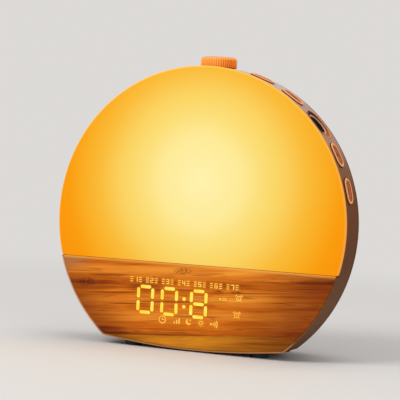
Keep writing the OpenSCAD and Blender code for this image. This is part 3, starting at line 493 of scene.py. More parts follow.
@dataclass(frozen=True)
class PearlPaint(Finish):
    """Satin pearl paint of the case: a soft metal flake under a thin clear coat.

    Its stops give the colour at heights above the ground, painted light and shade that is paler on top and darker
    low down, and a groove is the depth of a seam darkened by painted shade in it.
    The lip's colour is a painted highlight on its front, and the calm one evens the painted light and shade out
    towards the back.
    """

    name: str
    stops: Stops
    roughness: float = 0.5
    gloss: float = 0.03
    groove: Pair | None = None
    lip_highlight: Colour | None = None
    calm: Colour | None = None
    calm_share: float = 0.75
    calm_depths: Pair = (25.0, 44.0)
    lip_front: Pair = (0.9, 0.4)
    lip_left: Pair = (-0.02, -0.045)
    lip_low: Pair = (0.012, 0.007)

    def _groove(self, sheet: Sheet, paint: Socket, depth: Socket) -> Socket:
        """Paints shade inside the seam and a painted highlight on the moulded edge behind it.

        Args:
            sheet: The material's sheet.
            paint: The paint's colour.
            depth: Depth behind the front.

        Returns:
            The colour.
        """
        start, end = self.groove
        # painted shade inside the seam, and a painted highlight on the edge behind it
        inside = sheet.window(depth, (start - 0.12, start), (end, end + 0.12))
        edge = sheet.window(depth, (end + 0.1, end + 0.3), (end + 0.9, end + 1.3))
        edge_highlight = sheet.mix(0.4, paint, shade(190, 128, 92))
        return sheet.mix(inside, sheet.mix(edge, paint, edge_highlight), shade(34, 22, 17))

    def _lip(self, sheet: Sheet, paint: Socket, axes: Sequence[Socket]) -> Socket:
        """Paints a highlight on the lip's front, on the left and along the underside.

        Args:
            sheet: The material's sheet.
            paint: The paint's colour.
            axes: The spot's x and z, and its depth behind the front.

        Returns:
            The colour.
        """
        x, z, depth = axes
        # painted highlight on the lip's front, on the left and along the underside
        low = sheet.fade(z, *self.lip_low)
        tint_share = sheet.math("MAXIMUM", sheet.fade(x, *self.lip_left), low)
        pale = sheet.mix(sheet.times(low, 0.8), self.lip_highlight, shade(160, 104, 44))
        return sheet.mix(sheet.times(sheet.fade(depth, *self.lip_front), tint_share), paint, pale)

    def draw(self, sheet: Sheet, shader: Node) -> None:
        """Draws the painted light and shade that falls with height, the flake, the haze and the handling marks.

        Args:
            sheet: The material's sheet.
            shader: Its Principled shader.
        """
        spot = sheet.spot()
        x, y, z = sheet.axes(spot)
        depth = sheet.depth(y)
        tall = GAUGE.disc_r * 2 * MM
        # the colour by height is painted light and shade: paler on top, darker low down
        paint = sheet.ramp(sheet.over(z, tall), [(height * MM / tall, colour) for height, colour in self.stops])
        if self.calm:
            paint = sheet.mix(sheet.times(sheet.fade(depth, *self.calm_depths), self.calm_share), paint, self.calm)
        flakes = sheet.add("TexVoronoi", {"Vector": spot, "Scale": 4200.0})
        sparkle = sheet.times(sheet.axes(flakes.outputs["Color"])[0], 0.06)
        grain = effect(sheet, Effect.MOULDED, Grain_Size=1800.0, Tone_Size=28.0)
        marks = effect(sheet, Effect.HANDLED, Size=45.0, Amount=0.16)
        paint = sheet.mix(sparkle, paint, shade(226, 206, 196))
        paint = sheet.mix(sheet.times(grain["Tone"], 0.24), paint, shade(168, 140, 124), "MULTIPLY")
        if self.groove:
            paint = self._groove(sheet, paint, depth)
        if self.lip_highlight:
            paint = self._lip(sheet, paint, (x, z, depth))
        sheet.fill(shader, {
            "Base Color": paint,
            "Roughness": sheet.plus(marks["Smear"], self.roughness),
            "Normal": sheet.bump(grain["Height"], 0.05),
            "Specular IOR Level": self.gloss,
        })


@dataclass(frozen=True)
class GlowLens(Finish):
    """Frosted lens, lit from behind by a round lamp board: brightest near its middle."""

    name: str = "frosted_glow_lens"
    centre: Pair = (1.4, 24.2)
    reach: float = 1.15
    lit: float = 0.66
    # rim is a painted highlight on the rounded edge, and wall painted shade on the side wall behind it
    rim: Colour = shade(255, 214, 136)
    rim_in: Pair = (1.1, 0.6)
    wall: Colour = shade(172, 92, 18)
    wall_in: Pair = (0.5, 0.1)
    wall_depths: Pair = (0.7, 1.5)
    stops: Stops = (
        (0.0, shade(254, 241, 172)),
        (0.24, shade(252, 233, 151)),
        (0.36, shade(250, 221, 120)),
        (0.47, shade(249, 211, 98)),
        (0.62, shade(248, 187, 56)),
        (0.72, shade(248, 174, 34)),
        (0.83, shade(249, 156, 6)),
        (1.0, shade(250, 143, 0)),
    )

    def _edge(self, sheet: Sheet, spot: Socket, glow: Socket) -> Socket:
        """Paints a highlight on the rounded edge, brightest on the left, and painted shade on the wall behind it.

        Args:
            sheet: The material's sheet.
            spot: The spot.
            glow: The lens's colour.

        Returns:
            The colour.
        """

        def near(inset: Pair) -> Socket:
            """Eases in between two insets from the lens's outline."""
            return sheet.fade(radius, *(GAUGE.disc_r - away for away in inset))

        x, y, _ = sheet.axes(spot)
        radius = sheet.over(sheet.reach(spot, 0.0, 0.0), MM)
        # painted highlight on the rounded edge, brightest on the left, then painted shade on the wall
        side = sheet.scaled(sheet.fade(x, 0.03, -0.05), 0.35, 0.2)
        glow = sheet.mix(sheet.times(near(self.rim_in), side), glow, self.rim)
        wall = sheet.times(near(self.wall_in), sheet.fade(sheet.depth(y), *self.wall_depths))
        return sheet.mix(sheet.times(wall, 0.8), glow, self.wall)

    def draw(self, sheet: Sheet, shader: Node) -> None:
        """Draws the glow out from the lamp's centre and the frosting's fine grain.

        Args:
            sheet: The material's sheet.
            shader: Its Principled shader.
        """
        spot = sheet.spot()
        share = sheet.over(sheet.reach(spot, *self.centre), self.reach * GAUGE.disc_r * MM)
        drift = sheet.scaled(sheet.noise(spot, 22.0, 2.0), 0.03, -0.015)
        glow = self._edge(sheet, spot, sheet.ramp(sheet.plus(share, drift), self.stops, smooth=False))
        grain = effect(sheet, Effect.MOULDED, Grain_Size=3800.0)
        sheet.fill(shader, {
            "Base Color": sheet.mix(1.0 - self.lit, BLACK, glow),
            "Emission Color": glow,
            "Emission Strength": self.lit,
            "Normal": sheet.bump(grain["Height"], 0.05),
            "Roughness": 0.42,
            "Specular IOR Level": 0.05,
        })


@dataclass(frozen=True)
class Fleck:
    """A mark along the grain: its middle, half its length, half its width and how strong it is."""

    x: float
    z: float
    reach: float
    width: float
    depth: float = 0.6
    speckled: bool = False


@dataclass(frozen=True)
class Ground:
    """What the wood's layers are drawn from: a spot of the panel, its place, and the fibres there."""

    sheet: Sheet
    spot: Socket
    x: Socket
    z: Socket
    level: Socket
    streak: dict[str, Socket]


@dataclass(frozen=True)
class Bamboo(Finish):
    """Laminated bamboo under a satin lacquer: strips, fibres, knuckles and a glow round the lit marks."""

    name: str = "laminated_bamboo"
    tilt: float = 0.07
    dark: Colour = shade(128, 46, 0)
    middle: Colour = shade(206, 106, 12)
    light: Colour = shade(240, 152, 50)
    deep: Colour = shade(88, 26, 0)
    glow: Colour = shade(226, 140, 16)
    # dusk is painted shade at the right end and the lower left, and spill is painted light from the lens on the
    # top edge
    dusk_shade: Colour = shade(150, 116, 66)
    olive: Colour = shade(190, 136, 86)
    spill: Colour = shade(240, 176, 78)
    # The strip along the underside is yellower: between these levels it takes over
    yellow_from: Pair = (-65.0, -65.7)
    yellows: Stops = ((0.0, shade(158, 92, 4)), (0.5, shade(212, 136, 28)), (1.0, shade(236, 172, 70)))
    # Growth lines: the height of the slow waves that each one follows, and how strong it is
    growth: tuple[Pair, ...] = ((0.44, 0.42), (0.5, 0.3), (0.57, 0.42))
    # Strips from the top down: where each starts, as a share of the panel, and its lightness
    strips: tuple[Pair, ...] = (
        (0.0, 0.3),
        (0.03, 0.62),
        (0.1, 0.74),
        (0.17, 0.62),
        (0.2, 0.42),
        (0.27, 0.56),
        (0.34, 0.5),
        (0.42, 0.66),
        (0.5, 0.52),
        (0.58, 0.7),
        (0.7, 0.6),
        (0.77, 0.4),
        (0.84, 0.3),
    )
    flecks: tuple[Fleck, ...] = (
        Fleck(-69.0, -39.6, 7.0, 3.0, 0.8, True),
        Fleck(-7.0, -28.6, 6.0, 2.2, 0.6, True),
        Fleck(15.5, -38.9, 4.0, 1.3, 0.85, True),
        Fleck(27.0, -38.0, 4.5, 1.5, 0.85, True),
        Fleck(-54.0, -34.2, 14.0, 1.0, 0.5),
        Fleck(-52.0, -44.4, 19.0, 0.42, 0.75),
        Fleck(-12.0, -39.9, 26.0, 0.45, 0.6),
        Fleck(-10.0, -46.7, 28.0, 0.6, 0.65),
        Fleck(-41.0, -50.2, 18.0, 0.45, 0.65),
        Fleck(3.0, -54.2, 22.0, 0.6, 0.5),
        Fleck(46.0, -37.4, 34.0, 0.4, 0.6),
        Fleck(75.0, -28.4, 17.0, 1.0, 0.4),
        Fleck(40.0, -31.4, 26.0, 0.4, 0.45),
        Fleck(-20.0, -66.6, 42.0, 0.5, 0.45),
    )
    # Softer and wider: a positive depth lightens the wood, and a negative one darkens it
    patches: tuple[Fleck, ...] = (
        Fleck(-50.0, -28.4, 42.0, 2.6, 0.22),
        Fleck(-20.0, -29.4, 22.0, 2.0, 0.16),
        Fleck(30.0, -27.6, 14.0, 2.0, 0.14),
        Fleck(-66.0, -38.6, 20.0, 6.0, -0.34),
        Fleck(-26.0, -36.6, 22.0, 3.0, -0.24),
        Fleck(-30.0, -40.0, 12.0, 2.2, -0.18),
        Fleck(18.0, -36.0, 20.0, 2.6, -0.24),
        Fleck(32.0, -41.2, 22.0, 2.8, 0.26),
        Fleck(-24.0, -46.4, 18.0, 3.4, 0.14),
        Fleck(6.0, -43.8, 9.0, 2.2, 0.16),
        Fleck(6.0, -48.2, 9.0, 2.2, -0.16),
        Fleck(-32.0, -52.0, 12.0, 2.2, -0.14),
        Fleck(20.0, -51.4, 16.0, 3.4, 0.14),
        Fleck(34.0, -56.8, 18.0, 2.6, -0.2),
        Fleck(-4.0, -69.0, 30.0, 2.6, 0.2),
        Fleck(-52.0, -68.0, 12.0, 4.0, -0.28),
        Fleck(60.0, -33.0, 40.0, 3.4, -0.14),
    )

    def _ground(self, sheet: Sheet) -> Ground:
        """Finds a spot's place on the panel, also level with the tilted grain, and its fibres.

        Args:
            sheet: The material's sheet.

        Returns:
            The ground that the layers share.
        """
        spot = sheet.spot()
        raw_x, _, raw_z = sheet.axes(spot)
        x = sheet.over(raw_x, MM)
        z = sheet.minus(sheet.over(raw_z, MM), GAUGE.face_z)
        level = sheet.minus(z, sheet.times(x, self.tilt))
        streak = effect(sheet, Effect.STREAKED, Along=16.0, Across=1500.0, Broad=420.0, Tilt=self.tilt)
        return Ground(sheet, spot, x, z, level, streak)

    def _oval(self, ground: Ground, fleck: Fleck, outer: float, inner: float) -> Socket:
        """Draws a fleck as a soft ragged ellipse along the grain.

        Args:
            ground: The ground.
            fleck: The fleck.
            outer: Where it starts, in squared shares of its size.
            inner: Where it is full.

        Returns:
            How much of it shows, before its own strength.
        """
        sheet = ground.sheet
        across = sheet.over(sheet.minus(ground.x, fleck.x), fleck.reach)
        down = sheet.over(sheet.minus(ground.level, fleck.z - self.tilt * fleck.x), fleck.width)
        square = sheet.plus(sheet.times(across, across), sheet.times(down, down))
        return sheet.fade(sheet.plus(square, sheet.scaled(ground.streak["Broad"], 1.6, -0.8)), outer, inner)

    def _tone(self, ground: Ground) -> Socket:
        """Draws the lightness of the strips, their fibres and the soft patches.

        Args:
            ground: The ground.

        Returns:
            The tone from 0 to 1.
        """
        sheet, streak = ground.sheet, ground.streak
        sway = sheet.noise(sheet.stretch(ground.spot, (9.0, 0.0, 30.0)), 1.0, 2.0)
        bent = sheet.plus(ground.level, sheet.scaled(sway, 2.4, -1.2))
        fall = sheet.over(sheet.minus(-GAUGE.panel_drop, bent), GAUGE.base_drop - GAUGE.panel_drop)
        tone = sheet.ramp(fall, [(start, (tone, tone, tone)) for start, tone in self.strips])
        tone = sheet.plus(tone, sheet.scaled(streak["Broad"], 1.15, -0.575))
        tone = sheet.plus(tone, sheet.scaled(streak["Fine"], 0.55, -0.275))
        for patch in self.patches:
            tone = sheet.scaled(self._oval(ground, patch, 1.5, 0.0), patch.depth, tone)
        return sheet.plus(tone, 0.0, clamp=True)

    def _marks(self, ground: Ground, wood: Socket) -> Socket:
        """Draws the growth lines and the flecks.

        Args:
            ground: The ground.
            wood: The wood's colour.

        Returns:
            The colour.
        """
        sheet = ground.sheet
        waves = effect(sheet, Effect.STREAKED, Along=7.0, Across=420.0, Broad=110.0, Tilt=self.tilt)
        for height, strength in self.growth:
            away = sheet.math("ABSOLUTE", sheet.minus(waves["Broad"], height))
            line = sheet.times(sheet.fade(away, 0.016, 0.002), sheet.fade(waves["Fine"], 0.4, 0.6))
            wood = sheet.mix(sheet.times(line, strength), wood, self.deep)
        dots = sheet.fade(sheet.noise(sheet.stretch(ground.spot, (700.0, 0.0, 1000.0)), 1.0, 2.0), 0.36, 0.6)
        for fleck in self.flecks:
            shown = sheet.times(self._oval(ground, fleck, 1.25, 0.1), fleck.depth)
            wood = sheet.mix(sheet.times(shown, dots) if fleck.speckled else shown, wood, self.deep)
        return wood

    def _light(self, ground: Ground, wood: Socket) -> Socket:
        """Paints shade at the right end and the lower left, the olive corner, and painted light spilling from the
        lens.

        Args:
            ground: The ground.
            wood: The wood's colour.

        Returns:
            The colour.
        """
        sheet, x, z = ground.sheet, ground.x, ground.z
        # painted shade at the right end and the lower left
        slant = sheet.minus(x, sheet.scaled(z, 0.7, 25.0))
        right = sheet.times(sheet.fade(slant, 24.0, 84.0), 0.85)
        left = sheet.times(sheet.fade(sheet.plus(x, sheet.times(z, 1.2)), -100.0, -140.0), 0.8)
        wood = sheet.mix(sheet.plus(right, left), wood, self.dusk_shade, "MULTIPLY")
        corner = sheet.times(sheet.fade(x, -62.0, -82.0), sheet.fade(z, -36.0, -27.0))
        wood = sheet.mix(sheet.times(corner, 0.5), wood, self.olive)
        # painted light spilling from the lens onto the top edge
        return sheet.mix(sheet.times(sheet.fade(z, -26.6, -24.8), 0.6), wood, self.spill)

    def draw(self, sheet: Sheet, shader: Node) -> None:
        """Draws the wood layer by layer and the glow round the lit marks.

        Args:
            sheet: The material's sheet.
            shader: Its Principled shader.
        """
        ground = self._ground(sheet)
        tone = self._tone(ground)
        wood = sheet.ramp(tone, [(0.0, self.dark), (0.5, self.middle), (1.0, self.light)], smooth=False)
        low = sheet.fade(ground.level, *self.yellow_from)
        wood = sheet.mix(sheet.times(low, 0.9), wood, sheet.ramp(tone, self.yellows))
        wood = self._light(ground, self._marks(ground, wood))
        halo = sheet.carried("halo")
        sheet.fill(shader, {
            "Base Color": sheet.mix(sheet.times(halo, 0.5), wood, self.deep),
            "Emission Color": sheet.mix(halo, BLACK, self.glow),
            "Emission Strength": 0.35,
            "Roughness": sheet.scaled(ground.streak["Fine"], 0.16, 0.4),
            "Normal": sheet.bump(ground.streak["Height"], 0.12, 0.0002),
            "Specular IOR Level": 0.1,
        })


@dataclass(frozen=True)
class LitMark(Finish):
    """A mark that light shines through: paler where a cell is bright, amber where it is dim."""

    name: str
    core: Colour
    warm: Colour
    strength: float = 0.84

    def draw(self, sheet: Sheet, shader: Node) -> None:
        """Draws the glow with a slight unevenness from cell to cell.

        Args:
            sheet: The material's sheet.
            shader: Its Principled shader.
        """
        patch = sheet.noise(sheet.spot(), 170.0, 2.0)
        glow = sheet.mix(sheet.fade(patch, 0.38, 0.62), self.warm, self.core)
        sheet.fill(shader, {
            "Emission Color": glow,
            "Base Color": sheet.mix(0.35, BLACK, glow),
            "Emission Strength": self.strength,
            "Roughness": 0.5,
        })


@dataclass(frozen=True)
class GrainedCap(Finish):
    """Copper-brown caps of keys and knob: fine lengthwise grain under a satin coat.

    Its stops give the colour for the tone that a mesh carries, from painted shade on walls to painted highlights
    on rims, and lit is the strength of a painted glow, standing in for the lens's light falling on the cap.
    """

    name: str
    stops: Stops
    roughness: float = 0.42
    gloss: float = 0.08
    lit: float = 0.0
    rings: bool = False

    def draw(self, sheet: Sheet, shader: Node) -> None:
        """Draws the tones, which are painted light and shade, the grain, and the turned rings on a lathed cap.

        Args:
            sheet: The material's sheet.
            shader: Its Principled shader.
        """
        streak = effect(sheet, Effect.STREAKED, Along=60.0, Across=2600.0, Broad=700.0)
        marks = effect(sheet, Effect.HANDLED, Size=160.0, Amount=0.18)
        tint_share = sheet.times(sheet.plus(streak["Broad"], streak["Fine"]), 0.22)
        base = sheet.ramp(sheet.carried("tone"), self.stops, smooth=False)
        colour = sheet.mix(tint_share, base, shade(200, 170, 140), "MULTIPLY")
        height = streak["Height"]
        if self.rings:
            centre = (GAUGE.knob_depth - GAUGE.depth / 2) * MM
            height = effect(sheet, Effect.RINGED, Centre_Y=centre, Pitch=9000.0)["Height"]
        sheet.fill(shader, {
            "Base Color": colour,
            "Roughness": sheet.plus(marks["Smear"], self.roughness),
            "Normal": sheet.bump(height, 0.08),
            "Specular IOR Level": self.gloss,
        })
        # painted glow: the cap gives off light that stands in for the lens's light falling on it
        if self.lit:
            sheet.fill(shader, {"Emission Color": colour, "Emission Strength": self.lit})


@dataclass(frozen=True)
class Metal(Finish):
    """Brushed or ground metal of screws, shafts and shields."""

    name: str
    colour: Colour
    roughness: float = 0.32

    def draw(self, sheet: Sheet, shader: Node) -> None:
        """Draws the brushing and the smears.

        Args:
            sheet: The material's sheet.
            shader: Its Principled shader.
        """
        streak = effect(sheet, Effect.STREAKED, Along=40.0, Across=4000.0, Broad=900.0)
        marks = effect(sheet, Effect.HANDLED, Size=180.0, Amount=0.3)
        sheet.fill(shader, {
            "Base Color": sheet.mix(streak["Broad"], tinted(self.colour, 0.72), self.colour),
            "Roughness": sheet.plus(marks["Smear"], self.roughness),
            "Normal": sheet.bump(streak["Fine"], 0.06),
            "Metallic": 1.0,
        })


@dataclass(frozen=True)
class CircuitBoard(Finish):
    """Solder mask over copper tracks."""

    name: str
    mask: Colour
    track: Colour

    def draw(self, sheet: Sheet, shader: Node) -> None:
        """Draws the tracks as a fine wandering net.

        Args:
            sheet: The material's sheet.
            shader: Its Principled shader.
        """
        feeds = {"Vector": sheet.stretch(sheet.spot(), (1.0, 0.2, 1.0)), "Scale": 260.0}
        net = sheet.add("TexVoronoi", feeds, feature="DISTANCE_TO_EDGE", distance="EUCLIDEAN")
        line = sheet.minus(1.0, sheet.fade(net.outputs[0], 0.04, 0.08))
        grain = effect(sheet, Effect.MOULDED, Grain_Size=3000.0)
        sheet.fill(shader, {
            "Base Color": sheet.mix(line, self.mask, self.track),
            "Normal": sheet.bump(sheet.plus(line, sheet.times(grain["Height"], 0.1)), 0.15),
            "Roughness": 0.3,
        })


@dataclass(frozen=True)
class Paper(Finish):
    """Coated paper and foam: pulpy fibres without gloss."""

    name: str
    colour: Colour

    def draw(self, sheet: Sheet, shader: Node) -> None:
        """Draws matted fibres in tone and height.

        Args:
            sheet: The material's sheet.
            shader: Its Principled shader.
        """
        pulp = sheet.noise(sheet.spot(), 1400.0, 6.0, 0.75)
        sheet.fill(shader, {
            "Base Color": sheet.mix(pulp, self.colour, tinted(self.colour, 1.7)),
            "Normal": sheet.bump(pulp, 0.35, 0.0002),
            "Roughness": 0.9,
        })


# the case paint's stops by height are painted light and shade, paler on top and darker low down
CASE_PAINT = PearlPaint(
    "pearl_case_paint",
    (
        (30.0, shade(108, 66, 30)),
        (60.0, shade(96, 50, 2)),
        (90.0, shade(108, 58, 8)),
        (108.0, shade(132, 88, 52)),
        (126.0, shade(182, 138, 112)),
        (142.0, shade(186, 152, 138)),
        (156.0, shade(200, 182, 174)),
    ),
    groove=(GAUGE.seam_depth, GAUGE.seam_depth + GAUGE.seam_gap),
    lip_highlight=shade(200, 152, 122),
    calm=shade(126, 84, 58),
)
RING_PAINT = PearlPaint("pearl_ring_paint", ((0.0, shade(226, 178, 152)),), roughness=0.35, gloss=0.1)
# key cap tones run from painted shade on the walls to a painted highlight on the rim
KEY_CAP = GrainedCap(
    "copper_key_cap",
    (
        (0.0, shade(60, 20, 0)),
        (0.2, shade(120, 50, 0)),
        (0.5, shade(182, 98, 44)),
        (1.0, shade(255, 178, 118)),
    ),
)
# hollow tones: painted shade low down, painted reflection on the dish and a painted highlight on the rim
KEY_HOLLOW = GrainedCap(
    "copper_key_hollow",
    (
        (0.0, shade(44, 12, 2)),
        (0.3, shade(106, 50, 8)),
        (0.55, shade(164, 92, 24)),
        (0.8, shade(192, 116, 40)),
        (1.0, shade(216, 166, 142)),
    ),
    gloss=0.03,
)
# knob tones are painted light and shade, and lit is a painted glow from the lens
KNOB_CAP = GrainedCap(
    "copper_knob",
    (
        (0.0, shade(190, 90, 6)),
        (0.25, shade(246, 126, 30)),
        (0.5, shade(255, 178, 82)),
        (1.0, shade(222, 158, 112)),
    ),
    lit=0.13,
    rings=True,
)
KEY_BLACK = Moulded("black_key", (0.004, 0.003, 0.003), roughness=0.5, grain=0.02, specular=0.01)
KEY_PRINT = Moulded("dark_key_print", shade(74, 34, 16), roughness=0.5)
BLACK_PLASTIC = Moulded("black_moulded_plastic", (0.012, 0.012, 0.014), roughness=0.45, grain=0.12)
WHITE_PLASTIC = Moulded("reflector_white", shade(238, 236, 228), roughness=0.55, tone=0.04)
STEM_PLASTIC = Moulded("pale_stem_plastic", shade(226, 220, 206), roughness=0.4, tone=0.05)
RUBBER = Moulded("foot_rubber", (0.014, 0.014, 0.014), roughness=0.8, grain=0.35, grain_size=1500.0)
FLEX_FILM = Moulded("amber_flex_film", shade(190, 98, 28), roughness=0.25, coat=0.4)
RIBBON = Moulded("grey_ribbon", shade(200, 196, 186), roughness=0.45)
LEAD_RED = Moulded("red_lead", shade(160, 40, 32), roughness=0.4)
LED_RESIN = Moulded("led_resin", shade(252, 240, 190), roughness=0.2, coat=0.5, tone=0.05)
STEEL = Metal("zinc_steel", shade(196, 196, 200))
MAGNET = Metal("ground_magnet", shade(110, 110, 116), roughness=0.5)
BOARD_GREEN = CircuitBoard("green_circuit_board", shade(24, 78, 46), shade(40, 112, 66))
BOARD_WHITE = CircuitBoard("white_lamp_board", shade(236, 234, 226), shade(214, 212, 202))
CONE_PAPER = Paper("cone_paper", (0.018, 0.017, 0.016))
FOAM = Paper("black_foam", (0.01, 0.01, 0.01))
BRIGHT_MARK = LitMark("bright_mark", shade(255, 220, 84), shade(254, 203, 40))
SMALL_MARK = LitMark("small_mark", shade(250, 194, 74), shade(242, 172, 44))

BRIGHT_NODES = ("digit_1", "digit_2", "digit_3", "colon")
SMALL_NODES = ("day_marks", "half_day_mark", "alarm_marks", "mode_marks")
WEAR: dict[Finish, tuple[str, ...]] = {
    CASE_PAINT: ("front_housing", "rear_cover"),
    BRIGHT_MARK: BRIGHT_NODES,
    SMALL_MARK: SMALL_NODES,
    BLACK_PLASTIC: (
        "display_mask", "tact_switches", "encoder_plunger", "board_parts",
        "power_socket", "coin_holder", "speaker_basket",
    ),
    BOARD_GREEN: ("display_board", "main_board"),
    BOARD_WHITE: ("lamp_board",),
    WHITE_PLASTIC: ("reflector_pan",),
    LED_RESIN: ("display_leds", "lamp_leds"),
    FLEX_FILM: ("key_strip", "key_cable"),
    RIBBON: ("display_cable", "lamp_cable", "encoder_cable"),
    LEAD_RED: ("speaker_leads",),
    STEM_PLASTIC: tuple(f"tact_stem_{i}" for i in range(1, 6)),
    STEEL: (
        "display_screws", "pan_screws", "board_screws", "speaker_screws", "case_screws",
        "encoder_body", "encoder_nut", "encoder_shaft", "coin_cell",
    ),
    MAGNET: ("speaker_magnet",),
    CONE_PAPER: ("speaker_cone",),
    FOAM: ("speaker_surround", "speaker_gasket"),
    KEY_CAP: tuple(f"side_key_{i}" for i in range(1, 5)),
    KNOB_CAP: ("top_knob",),
    KEY_BLACK: ("round_key",),
    RING_PAINT: ("round_key_bezel",),
    RUBBER: ("feet",),
}


# ---------------------------------------------------------------- outlines and meshes


@dataclass(frozen=True)
class Bend:
    """One arc of a closed convex outline, drawn between two angles in degrees.

    An inset shrinks its radius, by the shares given for its two ends.
    """

    x: float
    z: float
    radius: float
    start: float
    end: float
    steps: int
    give: Pair = (1.0, 1.0)

    def points(self, inset: float) -> list[Pair]:
        """Lists the arc's points.

        Args:
            inset: How far inside the outline they lie.

        Returns:
            The points in order.
        """
        made = []
        for i in range(self.steps + 1):
            share = i / self.steps
            angle = math.radians(self.start + (self.end - self.start) * share)
            radius = self.radius - inset * (self.give[0] + (self.give[1] - self.give[0]) * share)
            made.append((self.x + radius * math.cos(angle), self.z + radius * math.sin(angle)))
        return made


@dataclass(frozen=True)
class Outline:
    """A closed convex outline of arcs, joined where they meet by straight lines."""

    bends: tuple[Bend, ...]

    def points(self, inset: float = 0.0) -> list[Pair]:
        """Lists the outline's points, in order, at an inset."""
        return [point for bend in self.bends for point in bend.points(inset)]


def circle(radius: float, steps: int, at: Pair = (0.0, 0.0)) -> list[Pair]:
    """Lists the points of a circle about a place."""
    turns = [math.tau * i / steps for i in range(steps)]
    return [(at[0] + radius * math.cos(turn), at[1] + radius * math.sin(turn)) for turn in turns]


def pill_outline(length: float, width: float, steps: int = 14) -> Outline:
    """Draws an outline with straight sides and round ends, about the origin.

    Args:
        length: Its length from end to end.
        width: Its width.
        steps: Steps round each end.

    Returns:
        The outline.
    """
    reach, radius = (length - width) / 2, width / 2
    ends = ((reach, -90.0), (-reach, 90.0))
    return Outline(tuple(Bend(x, 0.0, radius, start, start + 180.0, steps) for x, start in ends))


def lens_outline(gauge: Gauge, corner: float = 1.6) -> Outline:
    """Draws the lens's outline: the round face above the line where lens and wood meet.

    Args:
        gauge: The shared sizes.
        corner: Radius of its two lower corners.

    Returns:
        The outline.
    """
    # share of an inset that each corner takes up at its end on the straight lower edge
    held = 0.2
    z = -gauge.panel_drop + gauge.panel_gap + corner
    x = math.sqrt((gauge.disc_r - corner) ** 2 - z**2)
    turn = math.degrees(math.atan2(z, x))
    return Outline(
        (
            Bend(0.0, 0.0, gauge.disc_r, turn, 180.0 - turn, 220),
            Bend(-x, z, corner, 180.0 - turn, 270.0, 8, (1.0, held)),
            Bend(x, z, corner, 270.0, 360.0 + turn, 8, (held, 1.0)),
        )
    )


def underside(gauge: Gauge, margin: float) -> tuple[float, tuple[Bend, ...]]:
    """Draws the case's lower left corner, curved underside and lower right corner.

    Args:
        gauge: The shared sizes.
        margin: How far inside the outline of the case it runs.

    Returns:
        The angle where the right corner runs into the round part, and the three bends.
    """
    x, z = gauge.corner()
    turn = math.degrees(math.atan2(z, x))
    under = math.degrees(math.atan2(z - gauge.base_curve_z, x))
    radius, base_r = gauge.corner_r - margin, gauge.base_curve_r - margin
    return turn, (
        Bend(-x, z, radius, 180.0 - turn, 180.0 - under, 10),
        Bend(0.0, gauge.base_curve_z, base_r, 180.0 - under, 360.0 + under, 60),
        Bend(x, z, radius, 360.0 + under, 360.0 + turn, 10),
    )


def panel_outline(gauge: Gauge, margin: float, corner: float = 0.6) -> Outline:
    """Draws the wood panel's outline, this margin inside the outline of the case.

    Args:
        gauge: The shared sizes.
        margin: Width of the lip and of the gap beside the wood.
        corner: Radius of the panel's two upper corners.

    Returns:
        The outline, from the upper right corner round over the top.
    """
    side_r = gauge.disc_r - margin
    z = -gauge.panel_drop - gauge.panel_gap - corner
    x = math.sqrt((side_r - corner) ** 2 - z**2)
    turn = math.degrees(math.atan2(z, x))
    low_turn, under = underside(gauge, margin)
    return Outline(
        (
            Bend(x, z, corner, turn, 90.0, 5),
            Bend(-x, z, corner, 90.0, 180.0 - turn, 5),
            Bend(0.0, 0.0, side_r, 180.0 - turn, 180.0 - low_turn, 40),
            *under,
            Bend(0.0, 0.0, side_r, 360.0 + low_turn, 360.0 + turn, 40),
        )
    )


def fillet(radius: float, steps: int = 5) -> list[Pair]:
    """Lists inset and drop along a quarter round, from the side wall to the face.

    Args:
        radius: The round's radius.
        steps: Steps along it.

    Returns:
        Pairs of the inset from the side and the drop from the face.
    """
    angles = [math.pi / 2 * i / steps for i in range(steps + 1)]
    return [(radius * (1 - math.cos(angle)), radius * (1 - math.sin(angle))) for angle in angles]


